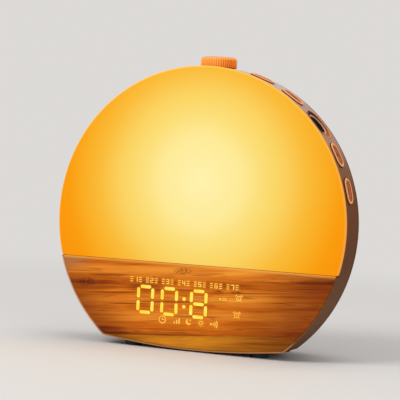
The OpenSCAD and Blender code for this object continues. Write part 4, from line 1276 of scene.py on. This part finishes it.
class Blank:
    """Points and faces gathered for one piece, in metres."""

    MERGE_DISTANCE = 2e-6

    def __init__(self) -> None:
        """Starts with nothing."""
        self.points: list[Vector] = []
        self.tones: list[float] = []
        self.faces: list[list[int]] = []

    def ring(self, points: Iterable[Vector], tone: float | Sequence[float] = 0.5) -> list[int]:
        """Adds points.

        Args:
            points: The points.
            tone: Their tone, one for all or one each.

        Returns:
            Their numbers.
        """
        first = len(self.points)
        self.points.extend(points)
        count = len(self.points) - first
        self.tones.extend([tone] * count if isinstance(tone, (int, float)) else tone)
        return list(range(first, first + count))

    def loft(
        self,
        rings: Sequence[Sequence[Vector]],
        caps: tuple[bool, bool] = (True, True),
        closed: bool = False,
        tones: Sequence[float | Sequence[float]] | None = None,
    ) -> None:
        """Joins closed rings one after another.

        Args:
            rings: The rings, all of one length.
            caps: Whether the first and the last ring are filled.
            closed: Whether the last ring joins the first.
            tones: The tone of each ring, or of each of its points.
        """
        given = tones or [0.5] * len(rings)
        numbers = [self.ring(points, tone) for points, tone in zip(rings, given, strict=True)]
        pairs = list(zip(numbers, numbers[1:]))
        if closed:
            pairs.append((numbers[-1], numbers[0]))
        for one, other in pairs:
            sides = zip(one, one[1:] + one[:1], other[1:] + other[:1], other)
            self.faces.extend([list(side) for side in sides])
        if not closed:
            self.faces.extend(list(ring) for ring, capped in zip((numbers[0], numbers[-1]), caps) if capped)

    def fill(
        self,
        points: Sequence[Vector],
        flat: Sequence[Pair],
        inner: Sequence[Pair],
        lift: Callable[[Pair], Vector],
    ) -> None:
        """Fills an outline with small triangles.

        Args:
            points: The outline's points in metres.
            flat: The same points in the outline's own plane.
            inner: Further points inside the outline.
            lift: Takes a point of the plane into metres.
        """
        count = len(points)
        spots = [Vector(p) for p in (*flat, *inner)]
        edges = [(i, (i + 1) % count) for i in range(count)]
        verts, _, faces, origins, _, _ = geometry.delaunay_2d_cdt(spots, edges, [], 1, 1e-7)
        numbers = []
        for place, origin in zip(verts, origins):
            known = [o for o in origin if o < count]
            numbers.append(self.ring([points[known[0]] if known else lift((place.x, place.y))])[0])
        self.faces.extend([numbers[i] for i in face] for face in faces)

    def piece(
        self,
        name: str,
        finish: Finish,
        body: str,
        slot: str,
        replaces: Sequence[str] = (),
        sharp: float = 38.0,
    ) -> bpy.types.Object:
        """Makes the piece and hands it to its body.

        Args:
            name: The piece's name.
            finish: What it is finished in.
            body: The body that it rides on.
            slot: The record's material slot; not used.
            replaces: The nodes that it stands for.
            sharp: Edges that turn by more than this many degrees stay crisp.

        Returns:
            The object.
        """
        mesh = bpy.data.meshes.new(name)
        mesh.from_pydata([tuple(p) for p in self.points], [], self.faces)
        mesh.attributes.new("tone", "FLOAT", "POINT").data.foreach_set("value", self.tones)
        work = bmesh.new()
        work.from_mesh(mesh)
        bmesh.ops.remove_doubles(work, verts=work.verts, dist=self.MERGE_DISTANCE)
        bmesh.ops.recalc_face_normals(work, faces=work.faces)
        work.to_mesh(mesh)
        work.free()
        mesh.polygons.foreach_set("use_smooth", [True] * len(mesh.polygons))
        mesh.set_sharp_from_angle(angle=math.radians(sharp))
        mesh.materials.append(finish.material())
        made = bpy.data.objects.new(name, mesh)
        bpy.context.scene.collection.objects.link(made)
        weigh = made.modifiers.new("weighted_normals", "WEIGHTED_NORMAL")
        weigh.keep_sharp = True
        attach(made, body)
        if replaces:
            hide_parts(*replaces)
        LOG.info("%s: %d points, on %s", name, len(mesh.vertices), body)
        return made


# ---------------------------------------------------------------- lens and wood


@dataclass
class GlowingFace:
    """The frosted lens, with its rounded front edge."""

    gauge: Gauge
    edge_r: float = 1.2
    back_ease: Pair = (0.12, 0.15)

    def build(self) -> None:
        """Makes the lens."""
        outline = lens_outline(self.gauge)
        thick = self.gauge.sheet_t
        inset, rise = self.back_ease
        profile = [*reversed(fillet(self.edge_r, 8)), (0.0, thick - rise), (inset, thick)]
        blank = Blank()
        blank.loft([self.gauge.lay(outline.points(inset), depth) for inset, depth in profile])
        blank.piece("glow_lens", GlowLens(), CASE_BODY, "lens", ["lens"])


@dataclass
class WoodFace:
    """The bamboo panel, with eased edges and a soft glow round the marks that are lit in it."""

    gauge: Gauge
    lit_nodes: Sequence[str]
    ease: float = 0.3
    sink: float = 0.03
    grid: float = 0.75
    halo_reach: float = 0.75
    mark_step: float = 0.4
    # how far the inner points stay from the top edge, the round sides and the underside
    top_margin: float = 0.9
    side_margin: float = 2.6
    low_margin: float = 3.0
    # near the underside's ends the inner points stop at this half width
    low_rise: float = 12.0
    low_half: float = 55.0

    def _lit_points(self) -> list[Vector]:
        """Finds points along the front edges of the lit marks.

        Returns:
            The points.
        """
        found: list[Vector] = []
        front = -self.gauge.depth / 2 * MM
        for name in self.lit_nodes:
            mesh = bpy.data.objects[name].data
            for edge in mesh.edges:
                a, b = (mesh.vertices[i].co for i in edge.vertices)
                if max(abs(a.y - front), abs(b.y - front)) > 1e-5:
                    continue
                steps = max(1, int((b - a).length / (self.mark_step * MM)))
                found.extend(a.lerp(b, i / steps) for i in range(steps + 1))
        return found

    def _glow(self, panel: bpy.types.Object) -> None:
        """Writes how near each point of the panel is to a lit mark.

        Args:
            panel: The panel.
        """
        points = self._lit_points()
        tree = kdtree.KDTree(len(points))
        for i, point in enumerate(points):
            tree.insert(point, i)
        tree.balance()
        halo = []
        for vertex in panel.data.vertices:
            far = tree.find(vertex.co)[2] / MM
            halo.append(math.exp(-((far / self.halo_reach) ** 2)) if far < 4 * self.halo_reach else 0.0)
        panel.data.attributes.new("halo", "FLOAT", "POINT").data.foreach_set("value", halo)

    def _inner(self) -> list[Pair]:
        """Lists a grid of points inside the panel, every other row shifted by half a step.

        Returns:
            Their face positions.
        """
        gauge = self.gauge
        made = []
        for row in range(int((gauge.base_drop - gauge.lip_w - gauge.panel_drop) / self.grid)):
            z = -gauge.panel_drop - self.top_margin - row * self.grid
            half = math.sqrt((gauge.disc_r - self.side_margin) ** 2 - z**2)
            under, low_r = gauge.base_curve_z - z, gauge.base_curve_r - self.low_margin
            if under > low_r:
                half = 0.0
            elif under > gauge.base_curve_r - self.low_rise:
                half = min(half, math.sqrt(low_r**2 - under**2), self.low_half)
            columns = int(2 * half / self.grid)
            made.extend((-half + (column + 0.5 * (row % 2)) * self.grid, z) for column in range(1, columns))
        return made

    def build(self) -> None:
        """Makes the panel."""
        gauge = self.gauge
        outline = panel_outline(gauge, gauge.lip_w + gauge.panel_gap)
        edge = [(inset, self.sink + drop) for inset, drop in reversed(fillet(self.ease, 4))]
        rings = [gauge.lay(outline.points(inset), depth) for inset, depth in (*edge, (0.0, gauge.sheet_t))]
        blank = Blank()
        blank.loft(rings, caps=(False, True))
        flat = outline.points(self.ease)
        blank.fill(rings[0], flat, self._inner(), lambda p: gauge.place(p[0], self.sink, p[1]))
        self._glow(blank.piece("bamboo_panel", Bamboo(), CASE_BODY, "bamboo", ["wood_panel"]))


# ---------------------------------------------------------------- keys and knob


@dataclass(frozen=True)
class KeySeat:
    """Where a key sits on the band: u runs along the band, v to the back and height out from the axis."""

    gauge: Gauge
    angle: float
    shift: float = 0.0

    def at(self, u: float, v: float, height: float) -> Vector:
        """Puts a point of the seat into the frame.

        Args:
            u: Distance along the band, positive towards the lower end.
            v: Distance towards the back.
            height: Distance out from the axis of the face.

        Returns:
            The point in metres.
        """
        turn = math.radians(self.angle)
        x = height * math.cos(turn) + u * math.sin(turn)
        z = height * math.sin(turn) - u * math.cos(turn)
        return self.gauge.place(x, self.gauge.key_depth + self.shift + v, z)

    def ring(self, points: Iterable[Pair], height: float | Callable[[float, float], float]) -> list[Vector]:
        """Puts an outline into the frame, at one height or at one worked out from u and v."""
        return [self.at(u, v, height(u, v) if callable(height) else height) for u, v in points]


class KeyPrint(Enum):
    """The plain generic mark on a key."""

    LESS = "less"
    MORE = "more"
    SUN = "sun"
    TONE = "tone"


@dataclass
class PillKey:
    """A pill-shaped key: its cap follows the band, with a raised rim round a shallow printed hollow."""

    gauge: Gauge
    number: int
    angle: float
    mark: KeyPrint
    body: str
    length: float = 14.8
    width: float = 9.6
    proud: float = 1.0
    edge_r: float = 0.35
    hollow: float = 0.5
    flange: float = 1.0
    flange_t: float = 1.2
    stem_r: float = 1.6
    stem_len: float = 1.2
    wall: float = 2.2
    clear: float = 0.3
    print_lift: Pair = (-0.04, 0.1)

    def _crown(self, drop: float) -> Callable[[float, float], float]:
        """Gives the height over the axis of the cap's surface, this far under its crown."""
        return lambda u, v: math.sqrt((self.gauge.disc_r + self.proud - drop) ** 2 - u * u)

    def _cap(self, blank: Blank, seat: KeySeat) -> None:
        """Adds the cap with its flange and stem as one skin.

        Args:
            blank: What the skin is added to.
            seat: Where the key sits.
        """
        outline = pill_outline(self.length, self.width)
        middle = self.width / 2 - 0.02
        # inset from the side, drop below the crown and tone, from the middle out; the tone paints a highlight on
        # the rim and shade on the side walls
        profile = [(share * middle, self.hollow, 0.5) for share in (1.0, 0.8, 0.6, 0.45)]
        profile += [(1.7, self.hollow - 0.03, 0.45), (1.45, 0.3, 0.4), (1.25, 0.06, 0.85), (1.1, 0.0, 1.0)]
        profile += [(inset, drop, 1.0) for inset, drop in reversed(fillet(self.edge_r, 5))]
        profile += [(0.0, self.edge_r + 0.12, 0.3), (0.0, self.edge_r + 0.3, 0.16), (0.0, self.proud + 0.3, 0.0)]
        rings = [seat.ring(outline.points(inset), self._crown(drop)) for inset, drop, _ in profile]
        inner_r = self.gauge.disc_r - self.wall
        top = math.sqrt(inner_r**2 - (self.length / 2 + self.flange) ** 2) - self.clear
        base = top - self.flange_t
        wide = pill_outline(self.length + 2 * self.flange, self.width)
        stem = pill_outline(2 * self.stem_r + 0.002, 2 * self.stem_r)
        foot = ((outline, top), (wide, top), (wide, base), (stem, base), (stem, base - self.stem_len))
        rings += [seat.ring(shape.points(), height) for shape, height in foot]
        blank.loft(rings, tones=[*(tone for _, _, tone in profile), *[0.0] * len(foot)])

    def _strokes(self) -> list[list[Pair]]:
        """Draws the printed marks as closed shapes about the middle of the key.

        Returns:
            The shapes, each a list of points along and across the key.
        """

        def bar(length: float, width: float, turn: float = 0.0, at: Pair = (0.0, 0.0)) -> list[Pair]:
            """Draws a bar with round ends.

            Args:
                length: Its length.
                width: Its width.
                turn: How far it is turned, in degrees.
                at: Its middle.

            Returns:
                Its points.
            """
            c, s = math.cos(math.radians(turn)), math.sin(math.radians(turn))
            points = pill_outline(length, width, 5).points()
            return [(at[0] + c * u - s * v, at[1] + s * u + c * v) for u, v in points]

        if self.mark is KeyPrint.LESS:
            shapes = [bar(4.2, 0.9)]
        elif self.mark is KeyPrint.MORE:
            shapes = [bar(4.2, 0.9), bar(4.0, 0.9, 90.0)]
        elif self.mark is KeyPrint.SUN:
            rays = [bar(1.0, 0.5, 45.0 * i, at) for i, at in enumerate(circle(2.2, 8))]
            shapes = [circle(1.25, 20), *rays]
        else:
            shapes = [circle(0.9, 20, (1.3, 0.0)), bar(3.6, 0.55, at=(-0.4, 0.75)), bar(0.55, 1.9, at=(-2.0, 0.1))]
        return [*shapes, *(circle(0.45, 20, (u, v)) for u in (-4.1, 4.1) for v in (-1.0, 1.0))]

    def build(self) -> None:
        """Makes the key and its printed marks."""
        seat = KeySeat(self.gauge, self.angle)
        blank, ink = Blank(), Blank()
        self._cap(blank, seat)
        blank.piece(f"pill_key_{self.number}", KEY_CAP, self.body, "key_cap", [f"side_key_{self.number}"])
        for stroke in self._strokes():
            ink.loft([seat.ring(stroke, self._crown(self.hollow + lift)) for lift in self.print_lift])
        ink.piece(f"key_print_{self.number}", KEY_PRINT, self.body, "key_cap")


@dataclass
class RoundKey:
    """The round key: a long dished bezel, a pale ring in its middle, and a sunk black key inside that."""

    gauge: Gauge
    angle: float
    body: str
    depth: float = 11.2
    length: float = 20.8
    width: float = 17.2
    proud: float = 0.3
    rim: float = 0.8
    floor_drop: float = 1.4
    edge_r: float = 0.3
    bore_r: float = 6.3
    ring_w: float = 0.6
    ring_rise: float = 0.4
    slope: float = 0.19
    shade_from: float = 5.5
    cap_r: float = 6.0
    sink: float = 1.5
    dish: float = 0.5
    base: float = 87.8
    flange: float = 1.1
    flange_t: float = 1.2
    stem_r: float = 1.6
    stem_foot: float = 84.7
    steps: int = 40

    def __post_init__(self) -> None:
        """Works out the seat, the crown of the rim and the floor of the dish."""
        self.seat = KeySeat(self.gauge, self.angle, self.depth - self.gauge.key_depth)
        self.crown = self.gauge.disc_r + self.proud
        self.floor = self.crown - self.floor_drop

    def _circle(self, radius: float) -> list[Pair]:
        """Lists a circle with as many points as the bezel's outline."""
        return pill_outline(2 * radius + 0.002, 2 * radius, self.steps).points()

    def _turned(self, profile: Iterable[Pair]) -> list[list[Vector]]:
        """Places a circle for each radius and height."""
        return [self.seat.ring(self._circle(radius), height) for radius, height in profile]

    def _tone(self, v: float, tone: float) -> float:
        """Paints shade near the bezel's front end, by darkening its tone."""
        return tone - 0.8 * max(0.0, min(1.0, -v - self.shade_from))

    def _bezel(self) -> None:
        """Makes the bezel: a rim that follows the band round a shallow cone."""
        start = self.bore_r + 0.65

        def skin(drop: float) -> Callable[[float, float], float]:
            """Gives the height of the rim's surface, this far under its crown."""
            return lambda u, v: math.sqrt((self.crown - drop) ** 2 - u * u)

        def cone(u: float, v: float) -> float:
            """Gives the height of the dish, which never rises above the rim."""
            return min(self.floor + self.slope * (math.hypot(u, v) - start), skin(0.12)(u, v))

        outline = pill_outline(self.length, self.width, self.steps)
        inner = self._circle(self.bore_r + self.ring_w - 0.05)
        outer = outline.points(self.rim + 0.06)
        # points, height and tone of each ring; the tones are painted light: a highlight on the rim, painted shade
        # in the bore, and on the dish a painted reflection that rises along the band
        profile = [(outline.points(), self.base, 0.9)]
        profile += [(outline.points(inset), skin(drop), 0.95) for inset, drop in fillet(self.edge_r)]
        inward = reversed(fillet(0.18, 3))
        profile += [(outline.points(self.rim - inset), skin(drop), 0.95) for inset, drop in inward]
        for share in (0.0, 0.25, 0.5, 0.75, 1.0):
            ring = [(u + (c - u) * share, v + (d - v) * share) for (u, v), (c, d) in zip(outer, inner)]
            profile.append((ring, cone, None))
        profile.append((inner, self.base, 0.3))
        tones = [
            [self._tone(v, 0.42 + 0.038 * u if tone is None else tone) for u, v in points]
            for points, _, tone in profile
        ]
        blank = Blank()
        blank.loft([self.seat.ring(points, height) for points, height, _ in profile], closed=True, tones=tones)
        blank.piece("round_key_bezel_dish", KEY_HOLLOW, CASE_BODY, "key_cap", ["round_key_bezel"])

    def _ring(self) -> None:
        """Makes the pale ring round the key."""
        outer, top = self.bore_r + self.ring_w, self.floor + self.ring_rise
        profile = [(outer, self.base), *((outer - inset, top - drop) for inset, drop in fillet(0.25, 4))]
        profile += [(self.bore_r + inset, top - drop) for inset, drop in reversed(fillet(0.2, 3))]
        blank = Blank()
        blank.loft(self._turned([*profile, (self.bore_r, self.base)]), closed=True)
        blank.piece("round_key_ring", RING_PAINT, CASE_BODY, "case_shell")

    def _cap(self) -> None:
        """Makes the key with its flange, and its stem, which stands on the switch."""
        top, shoulder = self.crown - self.sink, self.base - 0.3
        base, wide = shoulder - self.flange_t, self.cap_r + self.flange
        shares = (0.01, 0.25, 0.5, 0.75, 0.9)
        profile = [(share * self.cap_r, top - self.dish * (1 - share**2)) for share in shares]
        profile += [(self.cap_r - inset, top - drop) for inset, drop in reversed(fillet(0.3, 4))]
        rings = self._turned([*profile, (self.cap_r, shoulder), (wide, shoulder), (wide, base)])
        below = KeySeat(self.gauge, self.angle)
        rings += [below.ring(self._circle(self.stem_r), height) for height in (base, self.stem_foot)]
        blank = Blank()
        blank.loft(rings)
        blank.piece("round_key_cap", KEY_BLACK, self.body, "key_black", ["round_key"])

    def build(self) -> None:
        """Makes the bezel, the ring and the key."""
        self._bezel()
        self._ring()
        self._cap()


@dataclass
class TopKnob:
    """The knob on the band: a ribbed wall, a rounded crown and a slightly sunk turned top."""

    gauge: Gauge
    body: str
    radius: float = 10.6
    base: float = 90.0
    rise: float = 6.3
    edge_r: float = 2.0
    ribs: int = 48
    rib_depth: float = 0.34
    wall: float = 1.6
    roof: float = 2.0
    hub_r: float = 4.8
    hub_drop: float = 3.0
    bore_r: float = 3.02
    samples: int = 8
    rib_shade: float = 0.22
    # painted shade: the side away from the glow is a deeper colour: how much, and at which turn
    shade_tone: float = 0.4
    shade_turn: float = -0.3

    def _profile(self) -> list[tuple[float, float, float, float]]:
        """Draws the knob's section, from the bore out, over the top and back in.

        Returns:
            Radius, height, share of the rib's depth and tone of each ring.
        """
        top = self.base + self.rise
        cavity, hub_base = top - self.roof, self.base - self.hub_drop
        # the tone that rises along the crown's round is a painted highlight
        fade_r, highlight_r = 0.55 * self.edge_r, 0.2 * self.edge_r
        inside = [
            (self.bore_r, cavity - 0.05),
            (self.bore_r, hub_base),
            (self.hub_r, hub_base),
            (self.hub_r, cavity),
            (self.radius - self.wall, cavity),
            (self.radius - self.wall, self.base),
        ]
        edge = [
            (self.radius - inset, top - drop, max(0.0, 1 - inset / fade_r), 0.5 + 0.5 * min(1.0, inset / highlight_r))
            for inset, drop in fillet(self.edge_r, 8)
        ]
        crown_r = self.radius - self.edge_r
        return [
            *((radius, height, 0.0, 0.3) for radius, height in inside),
            (self.radius - 0.25, self.base, 0.4, 0.2),
            (self.radius, self.base + 0.3, 1.0, 0.4),
            *edge,
            (crown_r - 0.5, top, 0.0, 0.9),
            (crown_r - 0.8, top - 0.25, 0.0, 0.55),
            (crown_r - 1.3, top - 0.3, 0.0, 0.6),
            (0.5 * self.radius, top - 0.34, 0.0, 0.6),
        ]

    def build(self) -> None:
        """Makes the knob."""
        count = self.ribs * self.samples
        rings, tones = [], []
        for radius, height, share, tone in self._profile():
            ring, marks = [], []
            for i in range(count):
                turn = math.tau * i / count
                # painted shade in the ribs' hollows and on the side away from the glow
                hollow = share * math.cos(math.pi * (i % self.samples) / self.samples) ** 8
                deep = max(0.0, math.cos(turn - self.shade_turn) - 0.6)
                marks.append(tone - self.rib_shade * hollow - self.shade_tone * deep)
                reach = radius - self.rib_depth * hollow
                x, y = reach * math.cos(turn), reach * math.sin(turn)
                ring.append(self.gauge.place(x, self.gauge.knob_depth + y, height))
            rings.append(ring)
            tones.append(marks)
        blank = Blank()
        blank.loft(rings, caps=(False, False), tones=tones)
        top = self.base + self.rise
        for start, height in ((0, top - self.roof - 0.05), (len(blank.points) - count, top - 0.36)):
            middle = blank.ring([self.gauge.place(0.0, self.gauge.knob_depth, height)])[0]
            blank.faces.extend([start + i, start + (i + 1) % count, middle] for i in range(count))
        blank.piece("ribbed_knob", KNOB_CAP, self.body, "key_cap", ["top_knob"])


# ---------------------------------------------------------------- rear, underside and seam


@dataclass
class PowerInlet:
    """The round power inlet: a moulding with a chamfered mouth, and its metal pin."""

    gauge: Gauge
    at: Pair = (26.0, -48.0)
    bore_r: float = 3.15
    nose_r: float = 4.4
    pin_r: float = 1.05
    mouth: float = 47.6
    front: float = 28.1
    bore_len: float = 11.6
    pin_sink: float = 1.0
    steps: int = 40

    def _turned(self, profile: Iterable[Pair]) -> Blank:
        """Sweeps radii and depths round the inlet's axis.

        Args:
            profile: Radius and depth of each ring.

        Returns:
            The skin.
        """
        blank = Blank()
        blank.loft([self.gauge.lay(circle(radius, self.steps, self.at), depth) for radius, depth in profile])
        return blank

    def build(self) -> None:
        """Makes the moulding and the pin."""
        mouth, end, tip = self.mouth, self.mouth - self.bore_len, self.mouth - self.pin_sink
        moulding = (
            (0.2, self.front),
            (self.nose_r, self.front),
            (self.nose_r, mouth - 0.3),
            (self.nose_r - 0.3, mouth),
            (self.bore_r + 0.5, mouth),
            (self.bore_r, mouth - 0.5),
            (self.bore_r, end),
            (0.2, end),
        )
        self._turned(moulding).piece("inlet_moulding", BLACK_PLASTIC, CASE_BODY, "black_plastic", ["power_socket"])
        pin = (
            (self.pin_r, end - 0.5),
            (self.pin_r, tip - 0.6),
            (self.pin_r - 0.15, tip - 0.2),
            (self.pin_r - 0.5, tip),
            (0.05, tip),
        )
        self._turned(pin).piece("inlet_pin", STEEL, CASE_BODY, "steel")


@dataclass
class RubberFeet:
    """Four round rubber feet with a rounded sole edge and a sunk middle."""

    gauge: Gauge
    radius: float = 5.0
    edge_r: float = 0.5
    sink: float = 0.25
    bury: float = 0.3
    spots: tuple[Pair, ...] = ((40.0, 8.0), (34.0, 32.0))
    steps: int = 48

    def build(self) -> None:
        """Makes the feet as one piece."""
        gauge, low = self.gauge, -self.gauge.face_z
        blank = Blank()
        for away, depth in self.spots:
            curve = math.sqrt(gauge.base_curve_r**2 - (away + self.radius) ** 2)
            seat = gauge.base_curve_z - curve + self.bury
            profile = [(0.05, seat), (self.radius, seat)]
            profile += [(self.radius - inset, low + drop) for inset, drop in fillet(self.edge_r, 4)]
            profile += [(self.radius - 1.1, low), (self.radius - 1.4, low + self.sink), (0.05, low + self.sink)]
            for x in (-away, away):
                sections = [(circle(radius, self.steps, (x, depth)), z) for radius, z in profile]
                blank.loft([[gauge.place(a, b, z) for a, b in points] for points, z in sections])
        blank.piece("rubber_feet", RUBBER, CASE_BODY, "rubber", ["feet"])


@dataclass
class SeamShadeStrip:
    """A dark strip that closes the seam between the shells where no tongue does, round the wood: a painted shadow
    standing in for the shade in the gap.
    """

    gauge: Gauge
    setback: float = 0.6
    width: float = 0.45
    clear: float = 0.05
    overlap: float = 2.6

    def build(self) -> None:
        """Makes the strip by sweeping its section along the lower part of the seam."""
        gauge = self.gauge
        start, end = gauge.seam_depth + self.clear, gauge.seam_depth + gauge.seam_gap - self.clear
        top = math.degrees(math.asin((self.overlap - gauge.panel_drop) / gauge.disc_r))
        turn, under = underside(gauge, 0.0)
        left = Bend(0.0, 0.0, gauge.disc_r, 180.0 - top, 180.0 - turn, 30)
        right = Bend(0.0, 0.0, gauge.disc_r, 360.0 + turn, 360.0 + top, 30)
        path = Outline((left, *under, right))
        sections = []
        for outer, inner in zip(path.points(self.setback), path.points(self.setback + self.width)):
            section = ((outer, start), (outer, end), (inner, end), (inner, start))
            sections.append([gauge.place(x, depth, z) for (x, z), depth in section])
        blank = Blank()
        blank.loft(sections)
        # the painted shadow in the seam takes the black of the feet
        blank.piece("seam_gasket", RUBBER, CASE_BODY, "rubber")


# ---------------------------------------------------------------- frame nodes


@dataclass
class Interior:
    """Gives every node of the frame that stays its own finish."""

    nodes: dict[str, bpy.types.Object]
    wear: dict[Finish, tuple[str, ...]]
    replaced: tuple[str, ...] = ("lens", "wood_panel")

    def dress(self) -> None:
        """Puts each finish on its nodes and stops if a node was left bare."""
        left = set(self.nodes) - set(self.replaced)
        for finish, names in self.wear.items():
            for name in names:
                mesh = self.nodes[name].data
                mesh.materials.clear()
                mesh.materials.append(finish.material())
                left.discard(name)
        if left:
            raise ValueError(f"nodes without a finish: {sorted(left)}")
        LOG.info("dressed %d nodes of the frame", len(self.nodes))


# ---------------------------------------------------------------- studio


@dataclass(frozen=True)
class Lamp:
    """A square soft lamp: where it stands, its side and its power."""

    name: str
    at: tuple[float, float, float]
    side: float
    power: float


@dataclass
class Studio:
    """Plain pale floor, soft lamps and the camera at the photographed angle.

    The camera's distance and aim are in radii of the round face, and its focal length is in pixels.
    """

    gauge: Gauge
    azimuth: float = 23.40
    elevation: float = 1.86
    roll: float = 2.72
    distance: float = 9.558
    aim: Pair = (0.0182, 0.1439)
    focal_px: float = 1500.0
    frame_px: float = 400.0
    sensor: float = 36.0
    clip: Pair = (0.02, 50.0)
    floor_side: float = 12.0
    pale: Colour = (0.72, 0.70, 0.68)
    paper: Colour = (0.66, 0.64, 0.62)
    fade: Pair = (0.22, 0.75)
    ambient: float = 0.5
    lamps: tuple[Lamp, ...] = (
        Lamp("key_lamp", (-0.75, -1.15, 1.25), 0.9, 18.0),
        Lamp("top_lamp", (0.25, 0.15, 1.35), 0.8, 5.0),
        Lamp("fill_lamp", (1.4, -0.9, 0.6), 1.0, 5.0),
    )

    def _object(self, name: str, data: bpy.types.ID) -> bpy.types.Object:
        """Puts something new into the scene.

        Args:
            name: Its name.
            data: Its mesh, light or camera.

        Returns:
            The object.
        """
        made = bpy.data.objects.new(name, data)
        bpy.context.scene.collection.objects.link(made)
        return made

    def camera(self) -> None:
        """Sets the camera as the photograph was taken, from its fitted angles."""
        unit = self.gauge.disc_r * MM
        turn, lift, tilt = (math.radians(angle) for angle in (self.azimuth, self.elevation, self.roll))
        target = self.gauge.place(0.0, 0.0, 0.0) + Vector((self.aim[0], 0.0, self.aim[1])) * unit
        away = Vector((math.cos(lift) * math.sin(turn), -math.cos(lift) * math.cos(turn), math.sin(lift)))
        right = (-away).cross(Vector((0.0, 0.0, 1.0))).normalized()
        up = right.cross(-away)
        side = math.cos(tilt) * right + math.sin(tilt) * up
        top = -math.sin(tilt) * right + math.cos(tilt) * up
        data = bpy.data.cameras.new("photo_camera")
        data.sensor_width = self.sensor
        data.lens = self.sensor * self.focal_px / self.frame_px
        data.clip_start, data.clip_end = self.clip
        made = self._object("photo_camera", data)
        turned = Matrix((side, top, away)).transposed().to_4x4()
        turned.translation = target + away * self.distance * unit
        made.matrix_world = turned
        bpy.context.scene.camera = made

    def _floor(self) -> None:
        """Lays the pale floor, which fades into the pale surroundings further out."""
        half = self.floor_side / 2
        mesh = bpy.data.meshes.new("studio_floor")
        spread = [(x * half, y * half, 0.0) for x, y in ((-1, -1), (1, -1), (1, 1), (-1, 1))]
        mesh.from_pydata(spread, [], [(0, 1, 2, 3)])
        made_of = bpy.data.materials.new("studio_paper")
        made_of.use_nodes = True
        sheet = Sheet(made_of.node_tree)
        feeds = {"Base Color": self.paper, "Roughness": 0.9, "Specular IOR Level": 0.1}
        paper = sheet.add("BsdfPrincipled", feeds).outputs[0]
        haze = sheet.add("Emission", {"Color": self.pale, "Strength": 1.0}).outputs[0]
        far = sheet.fade(sheet.length(sheet.spot()), *self.fade)
        both = sheet.add("MixShader", {0: far, 1: paper, 2: haze}).outputs[0]
        sheet.add("OutputMaterial", {0: both})
        mesh.materials.append(made_of)
        self._object("studio_floor", mesh)

    def _world(self) -> None:
        """Sets the pale surroundings, as the camera and gloss see them and as they light the clock."""
        world = bpy.data.worlds.new("studio_world")
        bpy.context.scene.world = world
        world.use_nodes = True
        sheet = Sheet(world.node_tree)
        path = sheet.add("LightPath").outputs
        seen = sheet.math("MAXIMUM", path["Is Camera Ray"], path["Is Glossy Ray"])
        seen = sheet.math("MAXIMUM", seen, path["Is Transmission Ray"])
        lit = sheet.add("Background", {"Color": WHITE, "Strength": self.ambient}).outputs[0]
        shown = sheet.add("Background", {"Color": self.pale, "Strength": 1.0}).outputs[0]
        both = sheet.add("MixShader", {0: seen, 1: lit, 2: shown}).outputs[0]
        sheet.add("OutputWorld", {0: both})

    def build(self) -> None:
        """Sets the floor, the surroundings and the lamps."""
        self._floor()
        self._world()
        aim = self.gauge.place(0.0, self.gauge.depth / 2, 0.0)
        for lamp in self.lamps:
            data = bpy.data.lights.new(lamp.name, "AREA")
            data.shape = "SQUARE"
            data.size, data.energy = lamp.side, lamp.power
            made = self._object(lamp.name, data)
            made.location = lamp.at
            made.rotation_euler = (aim - Vector(lamp.at)).to_track_quat("-Z", "Y").to_euler()
        bpy.context.scene.view_settings.view_transform = "Standard"


def main() -> None:
    """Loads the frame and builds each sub-assembly in order."""
    logging.basicConfig(level=logging.INFO, format="%(name)s %(message)s")
    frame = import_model()
    studio = Studio(GAUGE)
    studio.camera()
    Interior(frame["nodes"], WEAR).dress()
    GlowingFace(GAUGE).build()
    WoodFace(GAUGE, (*BRIGHT_NODES, *SMALL_NODES)).build()
    keys = ((0, KeyPrint.LESS), (1, KeyPrint.MORE), (3, KeyPrint.SUN), (4, KeyPrint.TONE))
    for number, (step, mark) in enumerate(keys, 1):
        PillKey(GAUGE, number, GAUGE.key_angle(step), mark, f"key_{number}").build()
    RoundKey(GAUGE, GAUGE.key_angle(2), "key_round").build()
    TopKnob(GAUGE, "knob").build()
    PowerInlet(GAUGE).build()
    RubberFeet(GAUGE).build()
    SeamShadeStrip(GAUGE).build()
    studio.build()


if __name__ == "__main__":
    main()
